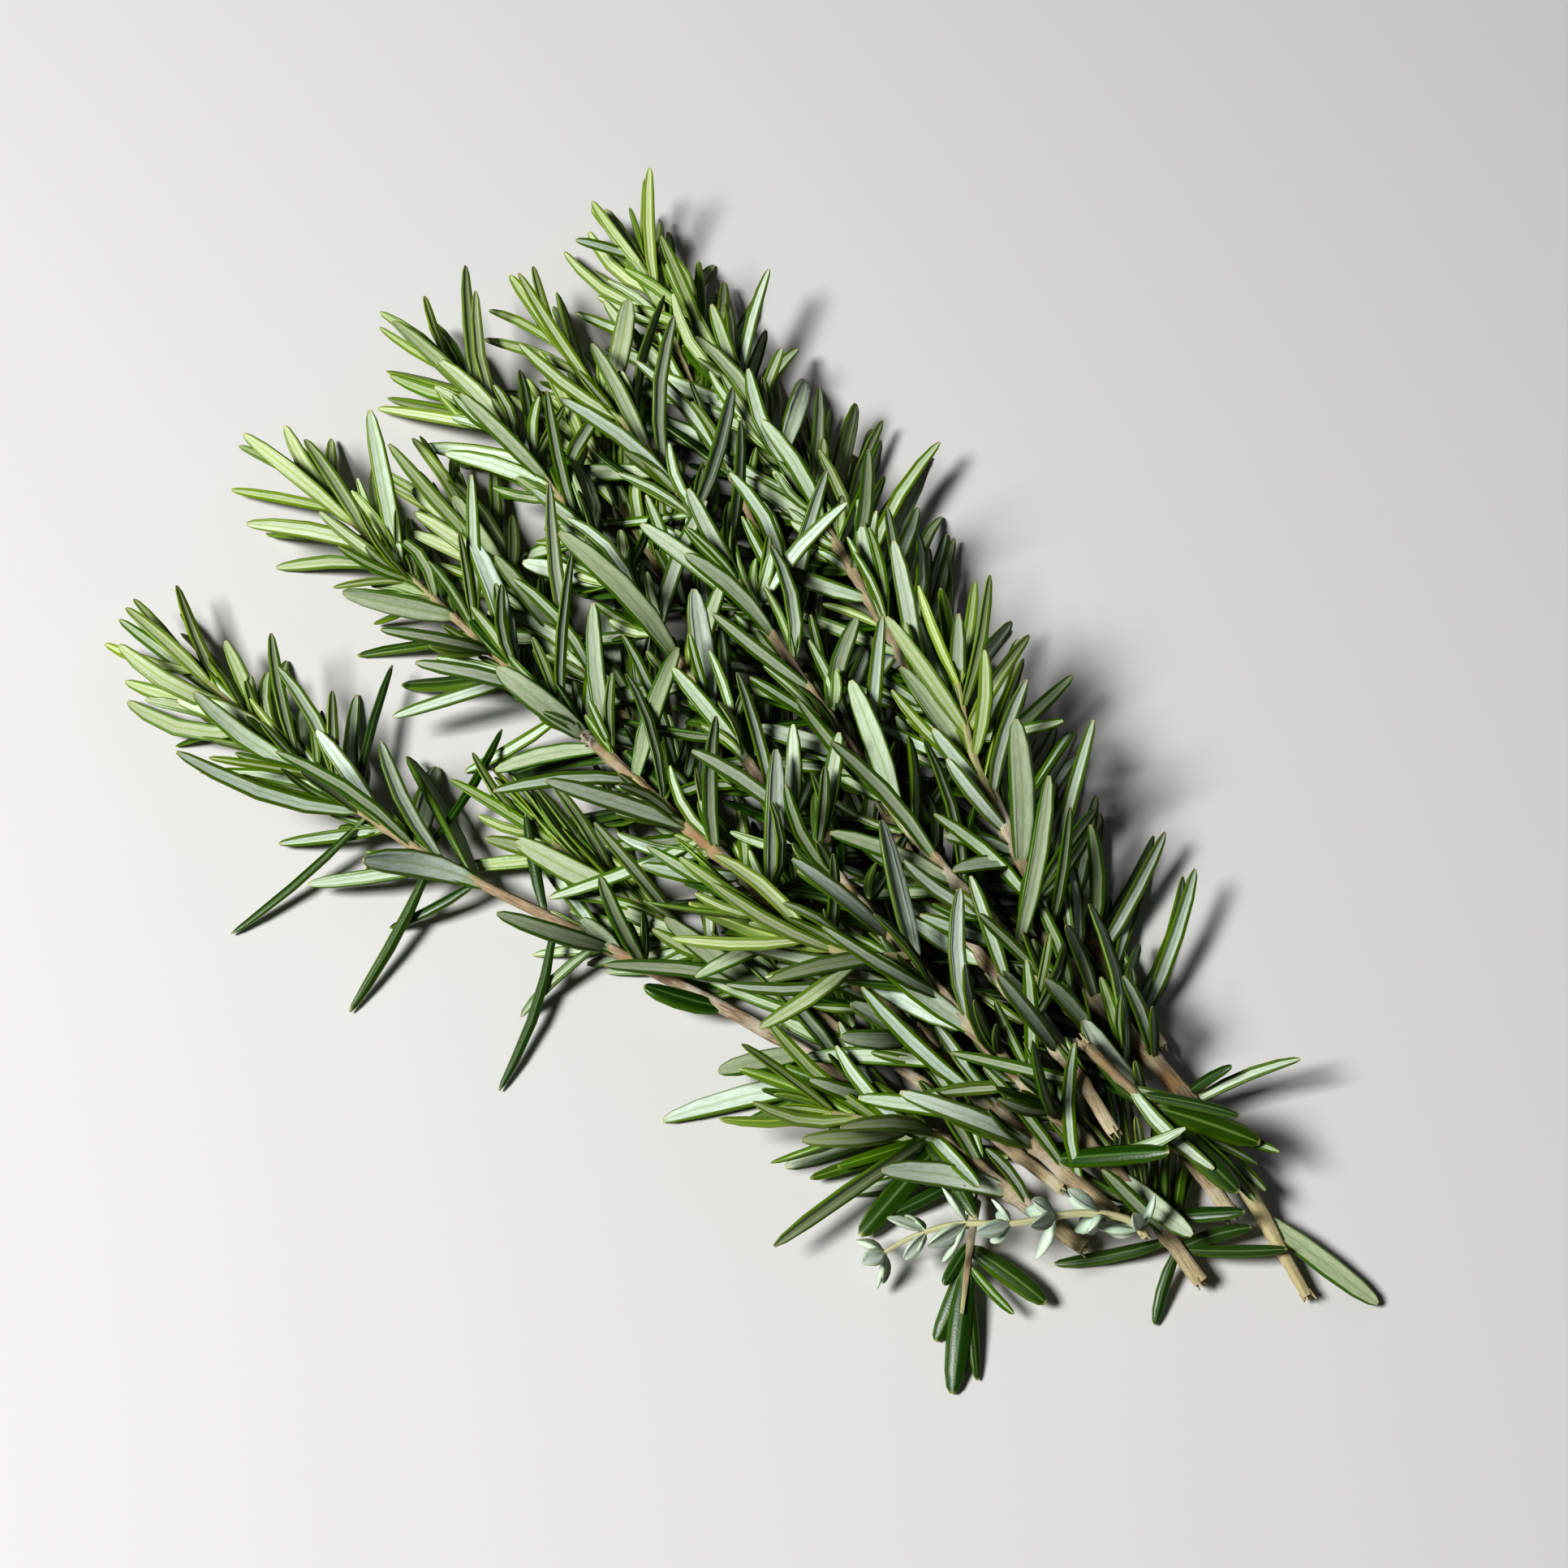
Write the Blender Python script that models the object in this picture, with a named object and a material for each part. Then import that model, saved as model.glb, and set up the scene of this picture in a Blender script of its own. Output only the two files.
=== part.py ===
"""A cut bunch of rosemary, lying loose and untied on a flat surface, with a short sprig of thyme across its cut ends.

The bunch is a pile of sprigs. Their cut ends meet at -X and their growing tips fan out towards +X. The sprigs
that the eye meets first lie on four more that are close to the surface. Each sprig is one solid: a tapered
stem with its side shoots, and every leaf sunk into the bark and fused. Leaves grow in pairs, each pair a
quarter turn on from the last. A leaf that would cut through another sprig is bent clear, and one that would
go through the surface is bent to land on it. The weight rests on the flattened underside of the lowest stem
and on leaf tips all round. The layout is worked out in millimetres, and each finished solid is in metres.
"""

import math
import random
from typing import NamedTuple

import bmesh
import bpy
import numpy as np
from mathutils import Matrix

MM = 0.001

# Space kept between two sprigs, how far from a leaf's root anything that it could touch begins, the most runs of
# stem and leaf in the bunch, and the least number that is divided by.
GAP = 0.4
NEARBY = 60.0
MOST_RUNS = 20000
TINY = 1e-9

# How finely a stem's route is followed, the length of one straight piece of its solid, and what counts as one
# flat side.
ROUTE_STEP = 2.0
STEM_STEP = 12.0
FLAT_ANGLE = math.radians(0.3)

# A stem keeps most of its thickness to half way and ends thin and soft. One torn off with a heel is thin at its
# lower end too.
STEM_TIP = 0.45
STEM_TAPER = 1.6
HEEL_THINNESS = 0.5
SIDE_SHOOT_RADIUS = 1.0
SIDE_SHOOT_BARE = 3.0

# A grown leaf is a narrow blade with its edges rolled under. Leaves near the tip are young and smaller.
LEAF_LENGTH = 26.0
LEAF_HALF_WIDTH = 1.35
LEAF_HALF_THICKNESS = 0.55
YOUNG_LENGTH = 20.0
YOUNG_HALF_WIDTH = 0.95
YOUNG_STRETCH = 18.0
ROOT_OUT = 0.2

# How much grown leaves differ: in length, in width with one in eight broad, in place and in spread.
LENGTH_RANGE = (0.72, 1.2)
WIDTH_RANGE = (0.8, 1.12)
BROAD_SHARE = 0.12
BROAD_FACTOR = 1.4
TURN_SPREAD = 0.2
ANGLE_SPREAD = (4.0, 11.0)

# How far a leaf's tip is bent, as a share of its length: towards the growing tip, off the stem, aside and down.
LIFT = 0.12
CURL = 0.01
CURL_SPREAD = 0.14
SWAY_SPREAD = 0.13
DROOP = 0.12

# How far a leaf twists to lie level, as a share of the way, and how far round its blade may face to twist this way
# and not the other.
LEVELLED = (0.3, 0.9)
MOST_ROUND = -0.5

# The space between leaf pairs, and how far a leaf stands off the stem, at the tip and on old wood. Leaves spread
# soon below the tip and then ever less, by a power. Leaves have fallen from some places just above the cut and,
# on one sprig, from a stretch half way.
TIP_PAIR = 0.5
PAIR_SPACING = (4.5, 7.4)
SPREAD_ANGLE = (15.0, 50.0)
SPREAD_POWER = 0.6
LEAST_ANGLE = 9.0
SHOOT_SEED = 100
OLD_STRETCH = 75.0
SPARSE_KEEP = 0.3
LOWER_STRETCH = 24.0
LOWER_KEEP = 0.9

# Above this height over the surface a leaf may point down, the more steeply the higher its root is.
FREE_HEIGHT = 2.5
STEEP_HEIGHT = 14.0
LEVEL_ENOUGH = 0.12
LANDING = 0.25

# What a leaf tries in turn until it is clear of the other sprigs: turn about the stem, change of angle, length.
TRIES = (
    (0, 0, 1.0), (16, 0, 1.0), (-16, 0, 1.0), (0, -12, 1.0), (0, 12, 1.0), (32, -6, 1.0), (-32, -6, 1.0),
    (20, -20, 1.0), (-20, -20, 1.0), (50, -10, 0.9), (-50, -10, 0.9), (0, -28, 0.85), (30, -30, 0.8),
    (-30, -30, 0.8), (0, 0, 0.6), (40, 0, 0.6), (-40, 0, 0.6),
)
TIP_LIFTS = (0, 2, -2, 4, -4, 6, 9)

# Each sprig: its route from the cut end to the tip, the stem's radius at the cut end, how far a torn heel goes up,
# the bare length above the cut, the stretch with few leaves, its side shoots, and the seed of its irregularities.
SPRIGS = {
    "sprig_middle": {
        "route": ((-127, 9, 4), (-105, 8, 8), (-67, 13, 20), (-18, 12, 23), (38, 3, 18), (84, -4, 13), (116, -6, 12)),
        "radius": 1.9, "heel": 0, "bare": 9, "sparse": (0, 0), "seed": 3,
        "shoots": (((-52, 13, 24), (-45, 23, 27), (-30, 31, 30)),),
    },
    "sprig_centre": {
        "route": ((-122, -3, 7), (-81, -5, 15), (-37, -4, 22), (9, -11, 20), (61, -22, 15), (107, -27, 12)),
        "radius": 1.8, "heel": 0, "bare": 20, "sparse": (0, 0), "seed": 4, "shoots": (),
    },
    "sprig_right": {
        "route": ((-141, -4, 3), (-104, -12, 7), (-67, -11, 14), (-36, -22, 18), (-5, -29, 17), (35, -40, 14),
                  (95, -54, 11)),
        "radius": 2.1, "heel": 27, "bare": 46, "sparse": (0, 0), "seed": 5,
        "shoots": (((-38, -21, 18), (-27, -24, 23), (-16, -30, 28)),),
    },
    "sprig_left": {
        "route": ((-109, 14, 9), (-71, 19, 13), (-25, 24, 18), (32, 28, 14), (77, 31, 11), (109, 33, 10)),
        "radius": 1.8, "heel": 0, "bare": 9, "sparse": (0, 0), "seed": 2, "shoots": (),
    },
    "sprig_outer_left": {
        "route": ((-109, 21, 5), (-58, 32, 5), (-7, 51, 7), (37, 68, 9), (92, 77, 9)),
        "radius": 1.9, "heel": 0, "bare": 10, "sparse": (56, 128), "seed": 1,
        "shoots": (((-78, 26, 5), (-72, 32, 9), (-62, 41, 12)),),
    },
    "sprig_far": {
        "route": ((-99, 6, 17), (-86, 4, 19), (-71, 3, 19), (-29, -5, 12), (20, -22, 9), (69, -39, 8), (116, -57, 8)),
        "radius": 1.6, "heel": 0, "bare": 8, "sparse": (0, 0), "seed": 7, "shoots": (),
    },
    "shoot_over_cut_ends": {
        "route": ((-84, 1, 24), (-95, -1, 20), (-104, -4, 16)),
        "radius": 1.1, "heel": 0, "bare": 12, "sparse": (0, 0), "seed": 14, "shoots": (),
    },
    "shoot_below_cut_ends": {
        "route": ((-90, 30, 4), (-96, 37, 5), (-104, 46, 5)),
        "radius": 1.1, "heel": 0, "bare": 22, "sparse": (0, 0), "seed": 12, "shoots": (),
    },
    "sprig_under_left": {
        "route": ((-98, 16, 3.5), (-60, 24, 5), (-20, 36, 6), (20, 46, 7)),
        "radius": 1.5, "heel": 0, "bare": 4, "sparse": (0, 0), "seed": 8, "shoots": (),
    },
    "sprig_under_middle": {
        "route": ((-92, 13, 4), (-50, 16, 5), (0, 17, 6), (50, 16, 7), (88, 14, 8)),
        "radius": 1.5, "heel": 0, "bare": 4, "sparse": (0, 0), "seed": 9, "shoots": (),
    },
    "sprig_under_centre": {
        "route": ((-102, 1, 1.1), (-50, 2, 1.0), (0, 0, 0.8), (45, -9, 5), (88, -17, 8)),
        "radius": 1.9, "heel": 0, "bare": 4, "sparse": (0, 0), "seed": 10, "shoots": (),
    },
    "sprig_under_right": {
        "route": ((-90, -17, 4), (-50, -24, 5), (0, -35, 6), (50, -49, 6)),
        "radius": 1.5, "heel": 0, "bare": 4, "sparse": (0, 0), "seed": 11, "shoots": (),
    },
}

# The sprig under all the others: one side of its square stem faces down and lies on the surface at the origin.
LOWEST = "sprig_under_centre"

# The leaves that stand out in the bunch: the sprig, how far up its stem the leaf grows, where its tip is, its half
# width, which face is up, and how far its middle is bowed aside as a share of its length.
UNDERSIDE = 1.0
TOP = -1.0
CHOSEN_LEAVES = (
    ("sprig_right", 16, (-150, -13, 2), 2.1, UNDERSIDE, 0.0),
    ("sprig_right", 32, (-123, -10, 9), 1.3, UNDERSIDE, 0.05),
    ("sprig_right", 42, (-103, -20, 15), 1.1, TOP, 0.05),
    ("sprig_right", 40, (-110, -31, 14), 1.3, UNDERSIDE, -0.08),
    ("sprig_right", 96, (-45, -3, 23), 1.9, UNDERSIDE, 0.06),
    ("sprig_right", 98, (-38, -7, 26), 1.7, UNDERSIDE, 0.08),
    ("sprig_right", 101, (-34, -44, 18), 1.5, UNDERSIDE, 0.0),
    ("sprig_right", 106, (-5, -25, 25), 2.2, UNDERSIDE, 0.04),
    ("sprig_right", 109, (-20, -20, 27), 1.7, UNDERSIDE, -0.04),
    ("sprig_right", 120, (-13, -49, 20), 1.4, UNDERSIDE, 0.05),
    ("sprig_right", 124, (-34, -41, 25), 1.5, UNDERSIDE, 0.05),
    ("sprig_right", 222, (92, -73, 15), 1.4, UNDERSIDE, -0.05),
    ("sprig_far", 226, (125, -46, 15), 1.4, UNDERSIDE, 0.04),
    ("sprig_centre", 62, (-48, 8, 28), 1.6, UNDERSIDE, -0.05),
    ("sprig_centre", 78, (-25, 10, 29), 1.9, UNDERSIDE, 0.07),
    ("sprig_centre", 96, (-2, -15, 27), 2.2, UNDERSIDE, 0.03),
    ("sprig_centre", 110, (2, 5, 26), 2.1, UNDERSIDE, 0.0),
    ("sprig_centre", 148, (54, -8, 23), 2.0, UNDERSIDE, 0.03),
    ("sprig_middle", 7, (-126, -4, 7), 1.4, TOP, 0.07),
    ("sprig_middle", 7, (-133, -6, 3), 1.2, TOP, -0.04),
    ("sprig_middle", 9, (-107, 26, 4), 1.3, TOP, 0.05),
    ("sprig_middle", 7, (-127, 20, 1), 1.1, TOP, -0.06),
    ("sprig_middle", 14, (-124, -3, 9), 1.5, TOP, 0.0),
    ("sprig_middle", 24, (-121, 7, 12), 2.1, UNDERSIDE, 0.03),
    ("sprig_middle", 60, (-48, 20, 28), 2.1, UNDERSIDE, -0.03),
    ("sprig_middle", 114, (-4, 1, 31), 1.7, UNDERSIDE, 0.04),
    ("sprig_left", 8, (-84, 3, 25), 1.3, UNDERSIDE, -0.12),
    ("sprig_left", 14, (-108, -2, 18), 1.3, UNDERSIDE, 0.12),
    ("sprig_left", 15, (-109, 3, 14), 1.9, TOP, 0.0),
    ("sprig_left", 46, (-52, 28, 24), 2.1, UNDERSIDE, 0.02),
    ("sprig_left", 78, (-27, 44, 16), 1.9, UNDERSIDE, 0.0),
    ("sprig_left", 104, (5, 54, 10), 1.5, UNDERSIDE, -0.05),
    ("sprig_left", 123, (26, 5, 25), 1.9, UNDERSIDE, -0.06),
    ("sprig_left", 133, (34, 45, 11), 1.9, UNDERSIDE, 0.1),
    ("sprig_left", 157, (57, 53, 10), 1.6, UNDERSIDE, 0.0),
    ("sprig_outer_left", 12, (-86, 25, 15), 1.2, UNDERSIDE, 0.1),
    ("sprig_outer_left", 24, (-81, 45, 3), 1.2, TOP, 0.05),
    ("sprig_outer_left", 32, (-81, 50, 3), 2.3, TOP, 0.0),
    ("sprig_outer_left", 36, (-90, 30, 12), 1.6, UNDERSIDE, 0.0),
    ("sprig_outer_left", 38, (-93, 33, 8), 1.6, TOP, 0.04),
    ("sprig_outer_left", 62, (-42, 51, 9), 2.2, UNDERSIDE, 0.03),
    ("sprig_outer_left", 80, (-20, 51, 10), 2.2, TOP, 0.05),
    ("sprig_outer_left", 103, (-2, 52, 11), 2.0, UNDERSIDE, 0.0),
    ("sprig_outer_left", 107, (-7, 71, 2), 1.1, UNDERSIDE, 0.08),
    ("sprig_outer_left", 117, (-16, 83, 1), 1.0, TOP, 0.1),
    ("sprig_outer_left", 119, (23, 46, 10), 1.1, TOP, 0.03),
    ("sprig_outer_left", 132, (29, 68, 12), 1.8, UNDERSIDE, -0.04),
    ("sprig_outer_left", 134, (24, 79, 2), 1.1, TOP, 0.06),
    ("sprig_outer_left", 144, (15, 95, 1), 1.1, TOP, 0.05),
    ("sprig_outer_left", 146, (43, 37, 6), 0.9, TOP, -0.06),
    ("sprig_outer_left", 156, (62, 67, 14), 1.7, UNDERSIDE, 0.04),
    ("sprig_outer_left", 160, (43, 103, 1), 1.0, TOP, 0.05),
    ("sprig_outer_left", 163, (69, 45, 6), 0.9, TOP, 0.05),
    ("sprig_outer_left", 194, (102, 77, 9), 1.3, UNDERSIDE, 0.0),
    ("sprig_outer_left", 196, (114, 81, 5), 1.4, UNDERSIDE, 0.0),
    ("shoot_over_cut_ends", 14, (-112, -12, 21), 1.2, TOP, 0.05),
    ("shoot_over_cut_ends", 18, (-117, -13, 16), 2.3, TOP, 0.03),
    ("shoot_over_cut_ends", 20, (-121, -4, 15), 2.3, TOP, -0.03),
    ("shoot_below_cut_ends", 8, (-98, 45, 5), 1.2, TOP, 0.0),
    ("shoot_below_cut_ends", 9, (-112, 33, 4), 2.0, TOP, 0.04),
    ("shoot_below_cut_ends", 11, (-104, 52, 1), 1.8, TOP, 0.05),
    ("shoot_below_cut_ends", 12, (-110, 39, 5), 0.9, UNDERSIDE, 0.06),
    ("shoot_below_cut_ends", 13, (-114, 51, 1), 1.1, TOP, 0.0),
    ("shoot_below_cut_ends", 13, (-113, 56, 1), 2.2, TOP, 0.0),
)

# The thyme is a wiry stem with a cluster of small oval leaves at each joint and at its tip.
THYME = {
    "route": ((-116, 14, 14), (-112, 15, 16), (-106, 21, 17), (-100, 31, 17), (-93, 38, 14), (-89, 44, 10),
              (-87, 50, 7)),
    "radius": 0.85, "first": 1.5, "spacing": 8.0, "cluster": 4, "length": (4.4, 8.0), "half_width": (1.3, 2.0),
    "angle": (35, 75), "age": 0.5, "seed": 21,
}

# The three sides of a leaf's section, in half widths and half thicknesses, and its size along the leaf.
SECTION_CORNERS = ((-1, -1), (1, -1), (0, 1))
SECTIONS = ((0.0, 0.3), (0.5, 1.0))

# The overall colour of each plant's leaves, felt and edges together.
ROSEMARY_COLOUR = (0.25, 0.33, 0.17)
THYME_COLOUR = (0.36, 0.42, 0.30)


def unit(vector):
    return vector / np.linalg.norm(vector)


def between(ends, share):
    return ends[0] + (ends[1] - ends[0]) * share


def smooth_route(points):
    """Closely spaced points on one smooth curve through the route's own points."""
    route = np.array(points, float)
    ends = np.vstack([2 * route[0] - route[1], route, 2 * route[-1] - route[-2]])
    curve = []
    for before, start, end, after in zip(ends, ends[1:], ends[2:], ends[3:]):
        steps = max(2, round(np.linalg.norm(end - start) / ROUTE_STEP))
        for i in range(steps):
            t = i / steps
            curve.append(
                start
                + 0.5 * t * (end - before)
                + 0.5 * t * t * (2 * before - 5 * start + 4 * end - after)
                + 0.5 * t ** 3 * (3 * start - before - 3 * end + after)
            )
    curve.append(route[-1])
    return np.array(curve)


class Stem:
    """A tapered four-sided stem along a smooth route, rolled about it by an angle."""

    def __init__(self, points, radius, roll, heel=0.0, tip_radius=STEM_TIP):
        self.points = smooth_route(points)
        self.roll = roll
        steps = np.linalg.norm(np.diff(self.points, axis=0), axis=1)
        self.along = np.concatenate([[0.0], np.cumsum(steps)])
        self.length = self.along[-1]
        self.heading = np.gradient(self.points, axis=0)
        self.heading /= np.linalg.norm(self.heading, axis=1)[:, None]
        share = self.along / self.length
        self.radius = tip_radius + (radius - tip_radius) * (1 - share ** STEM_TAPER)
        if heel:
            self.radius *= np.minimum(1.0, HEEL_THINNESS + (1 - HEEL_THINNESS) * self.along / heel)

    def at(self, distance):
        """The point, the heading, the level direction across and the radius at a distance from the cut end."""
        def read(values):
            return np.array([np.interp(distance, self.along, values[:, i]) for i in range(3)])
        heading = unit(read(self.heading))
        level = unit(np.cross(heading, (0, 0, 1)))
        return read(self.points), heading, level, float(np.interp(distance, self.along, self.radius))


class Growth(NamedTuple):
    """Where and how a leaf grows: place on the stem, turn about it, angle off it, size, age, twist and bends."""

    distance: float
    turn: float
    angle: float
    length: float
    half_width: float
    age: float
    level: float = 0.0
    curl: float = 0.0
    sway: float = 0.0
    droop: float = 0.0


class Leaf:
    """One leaf: straight from its root along its heading, and drawn aside towards its tip by its bow.

    A leaf whose tip would go through the surface is bent to land on it, and turns flat towards its tip.
    """

    def __init__(self, root, heading, side, bow, length, half_width, age):
        self.root = root
        self.heading = heading
        self.side = side
        self.bow = bow
        self.length = length
        self.half_width = half_width
        self.half_thickness = LEAF_HALF_THICKNESS
        self.age = age
        tip_height = root[2] + length * (heading[2] + bow[2])
        self.lands = tip_height < self.half_thickness
        if self.lands:
            self.bow = bow + np.array([0, 0, (self.half_thickness - tip_height) / length])

    def station(self, t):
        """The midrib's point, the direction across the blade and the blade's upper face, t of the way along."""
        heading = unit(self.heading + 2 * t * self.bow)
        side = self.side
        if self.lands:
            flat = np.cross((0, 0, 1), heading)
            side = side * (1 - t) + unit(flat) * math.copysign(t, np.dot(flat, side))
        side = unit(side - heading * np.dot(side, heading))
        face = np.cross(side, heading)
        point = self.root + self.length * (t * self.heading + t * t * self.bow)
        lowest = self.half_width * abs(side[2]) + self.half_thickness * abs(face[2])
        point[2] = max(point[2], lowest * min(1.0, t / LANDING))
        return point, side, face


class Occupied:
    """The space that stems and leaves already take up, as short straight runs with their half sizes."""

    def __init__(self):
        self.table = np.zeros((MOST_RUNS, 15))
        self.count = 0

    def add(self, owner, start, end, side, face, half_width, half_thickness):
        self.table[self.count] = (owner, *start, *end, *side, *face, half_width, half_thickness)
        self.count += 1

    def add_stem(self, owner, stem):
        for i in range(len(stem.points) - 1):
            side = unit(np.cross(stem.heading[i], (0, 0, 1)))
            face = np.cross(side, stem.heading[i])
            self.add(owner, stem.points[i], stem.points[i + 1], side, face, stem.radius[i], stem.radius[i])

    def add_leaf(self, owner, leaf):
        for start, end, side, face in runs(leaf):
            self.add(owner, start, end, side, face, leaf.half_width, leaf.half_thickness)

    def is_clear(self, owner, leaf):
        """Whether a plane with room on both sides parts the leaf from every run of the other owners."""
        table = self.table[:self.count]
        others = table[(table[:, 0] != owner) & (np.abs(table[:, 1:4] - leaf.root).max(axis=1) < NEARBY)]
        if not len(others):
            return True
        for start, end, side, face in runs(leaf):
            apart, direction = nearest(start, end, others[:, 1:4], others[:, 4:7])
            own = leaf.half_width * np.abs(direction @ side) + leaf.half_thickness * np.abs(direction @ face)
            theirs = others[:, 13] * np.abs(np.sum(direction * others[:, 7:10], axis=1))
            theirs += others[:, 14] * np.abs(np.sum(direction * others[:, 10:13], axis=1))
            if np.any(apart < own + theirs + GAP):
                return False
        return True


def runs(leaf):
    """The leaf as straight runs between its sections and its tip."""
    stations = [leaf.station(t) for t in [s[0] for s in SECTIONS] + [1.0]]
    for (start, _, _), (end, side, face) in zip(stations, stations[1:]):
        yield start, end, side, face


def nearest(start, end, starts, ends):
    """How far one run is from each of many, and the direction between the nearest points."""
    run = end - start
    others = ends - starts
    offset = start - starts
    run_square = run @ run
    other_squares = np.sum(others * others, axis=1)
    shared = others @ run
    offset_on_run = offset @ run
    offset_on_others = np.sum(others * offset, axis=1)
    spread = np.maximum(run_square * other_squares - shared * shared, TINY)
    s = np.clip((shared * offset_on_others - offset_on_run * other_squares) / spread, 0, 1)
    t = (shared * s + offset_on_others) / other_squares
    s_at_start = np.clip(-offset_on_run / run_square, 0, 1)
    s_at_end = np.clip((shared - offset_on_run) / run_square, 0, 1)
    s = np.where(t < 0, s_at_start, np.where(t > 1, s_at_end, s))
    t = np.clip(t, 0, 1)
    gaps = (start + s[:, None] * run) - (starts + t[:, None] * others)
    apart = np.linalg.norm(gaps, axis=1)
    return apart, gaps / np.maximum(apart, TINY)[:, None]


def splayed(radial, heading, height):
    """A direction off the stem, turned sideways where the surface is too near for a leaf to go down."""
    lowest = -min(1.0, max(LEVEL_ENOUGH, (height - FREE_HEIGHT) / STEEP_HEIGHT))
    if radial[2] >= lowest:
        return radial
    level = unit(np.cross(heading, (0, 0, 1)))
    if np.dot(level, radial) < 0:
        level = -level
    return unit(level * math.sqrt(1 - lowest * lowest) + np.array([0, 0, lowest]))


def grow_leaf(stem, growth):
    """A leaf on the stem, with its upper face towards the growing tip, and twisted some way to lie level."""
    point, heading, level, radius = stem.at(growth.distance)
    up = np.cross(level, heading)
    radial = splayed(level * math.cos(growth.turn) + up * math.sin(growth.turn), heading, point[2])
    radial = unit(radial - heading * np.dot(radial, heading))
    angle = math.radians(growth.angle)
    out = heading * math.cos(angle) + radial * math.sin(angle)
    side = np.cross(radial, heading)
    flat = unit(np.cross((0, 0, 1), out))
    if np.dot(flat, side) < MOST_ROUND:
        flat = -flat
    side = unit(side * (1 - growth.level) + flat * growth.level)
    bow = heading * LIFT * math.sin(angle) + radial * growth.curl + side * growth.sway
    bow += np.array([0, 0, -growth.droop])
    root = point + radial * radius * ROOT_OUT
    return Leaf(root, out, side, bow, growth.length, growth.half_width, growth.age)


def leaf_pairs(stem, design, is_shoot):
    """The main leaves of a stem, from its tip down."""
    chance = random.Random(design["seed"] + (SHOOT_SEED if is_shoot else 0))
    bare = SIDE_SHOOT_BARE if is_shoot else design["bare"]
    sparse_from, sparse_to = design["sparse"]
    turn = math.pi / 4 - stem.roll
    from_tip = TIP_PAIR
    while stem.length - from_tip > bare:
        distance = stem.length - from_tip
        old = min(1.0, from_tip / OLD_STRETCH)
        grown = math.sin(min(1.0, from_tip / YOUNG_STRETCH) * math.pi / 2)
        keep = 1.0
        if distance < bare + LOWER_STRETCH and not is_shoot:
            keep = LOWER_KEEP
        if sparse_from < distance < sparse_to:
            keep = SPARSE_KEEP
        angle = between(SPREAD_ANGLE, old ** SPREAD_POWER)
        angle_spread = between(ANGLE_SPREAD, old)
        for half in range(2):
            broad = 1 + (BROAD_FACTOR - 1) * grown * (chance.random() < BROAD_SHARE)
            growth = Growth(
                distance=distance,
                turn=turn + half * math.pi + chance.gauss(0, TURN_SPREAD),
                angle=angle + chance.gauss(0, angle_spread),
                length=between((YOUNG_LENGTH, LEAF_LENGTH * chance.uniform(*LENGTH_RANGE)), grown),
                half_width=broad * between(
                    (YOUNG_HALF_WIDTH, LEAF_HALF_WIDTH * chance.uniform(*WIDTH_RANGE)), grown,
                ),
                age=old,
                level=chance.uniform(*LEVELLED),
                curl=chance.gauss(CURL, CURL_SPREAD) * grown,
                sway=chance.gauss(0, SWAY_SPREAD) * grown,
                droop=chance.uniform(0, DROOP) * grown,
            )
            if chance.random() < keep:
                yield growth
        turn += math.pi / 2
        from_tip += between(PAIR_SPACING, old)


def clear_leaf(occupied, owner, stem, growth):
    """The leaf as it would grow, or bent just enough to miss the other sprigs, or none."""
    for turn, lift, shorter in TRIES:
        leaf = grow_leaf(stem, growth._replace(
            turn=growth.turn + math.radians(turn),
            angle=max(LEAST_ANGLE, growth.angle + lift),
            length=growth.length * shorter,
        ))
        if occupied.is_clear(owner, leaf):
            return leaf
    return None


def chosen_leaf(occupied, owner, stem, distance, tip, half_width, face_up, sway):
    """A leaf from its place on the stem to its tip, with the tip lifted or lowered clear of the other sprigs."""
    root = stem.at(distance)[0]
    for lift in TIP_LIFTS:
        reach = np.array(tip, float) + (0, 0, lift) - root
        length = np.linalg.norm(reach)
        side = unit(np.cross((0, 0, 1), reach)) * face_up
        heading = unit(reach - side * sway * length)
        leaf = Leaf(root, heading, side, side * sway, length, half_width, 1.0)
        if occupied.is_clear(owner, leaf):
            return leaf
    return None


def thyme_leaves(stem, occupied, owner):
    """Clusters of small oval leaves at the joints and the tip of the thyme's wiry stem."""
    chance = random.Random(THYME["seed"])
    leaves = []
    joints = [stem.length - TIP_PAIR, *np.arange(THYME["first"], stem.length - THYME["spacing"] / 2, THYME["spacing"])]
    for distance in joints:
        turn = chance.uniform(0, math.pi)
        for i in range(THYME["cluster"]):
            leaf = clear_leaf(occupied, owner, stem, Growth(
                distance=distance,
                turn=turn + math.tau * i / THYME["cluster"] + chance.gauss(0, TURN_SPREAD),
                angle=chance.uniform(*THYME["angle"]),
                length=chance.uniform(*THYME["length"]),
                half_width=chance.uniform(*THYME["half_width"]),
                age=THYME["age"],
            ))
            if leaf is not None:
                leaves.append(leaf)
                occupied.add_leaf(owner, leaf)
    return leaves


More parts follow.
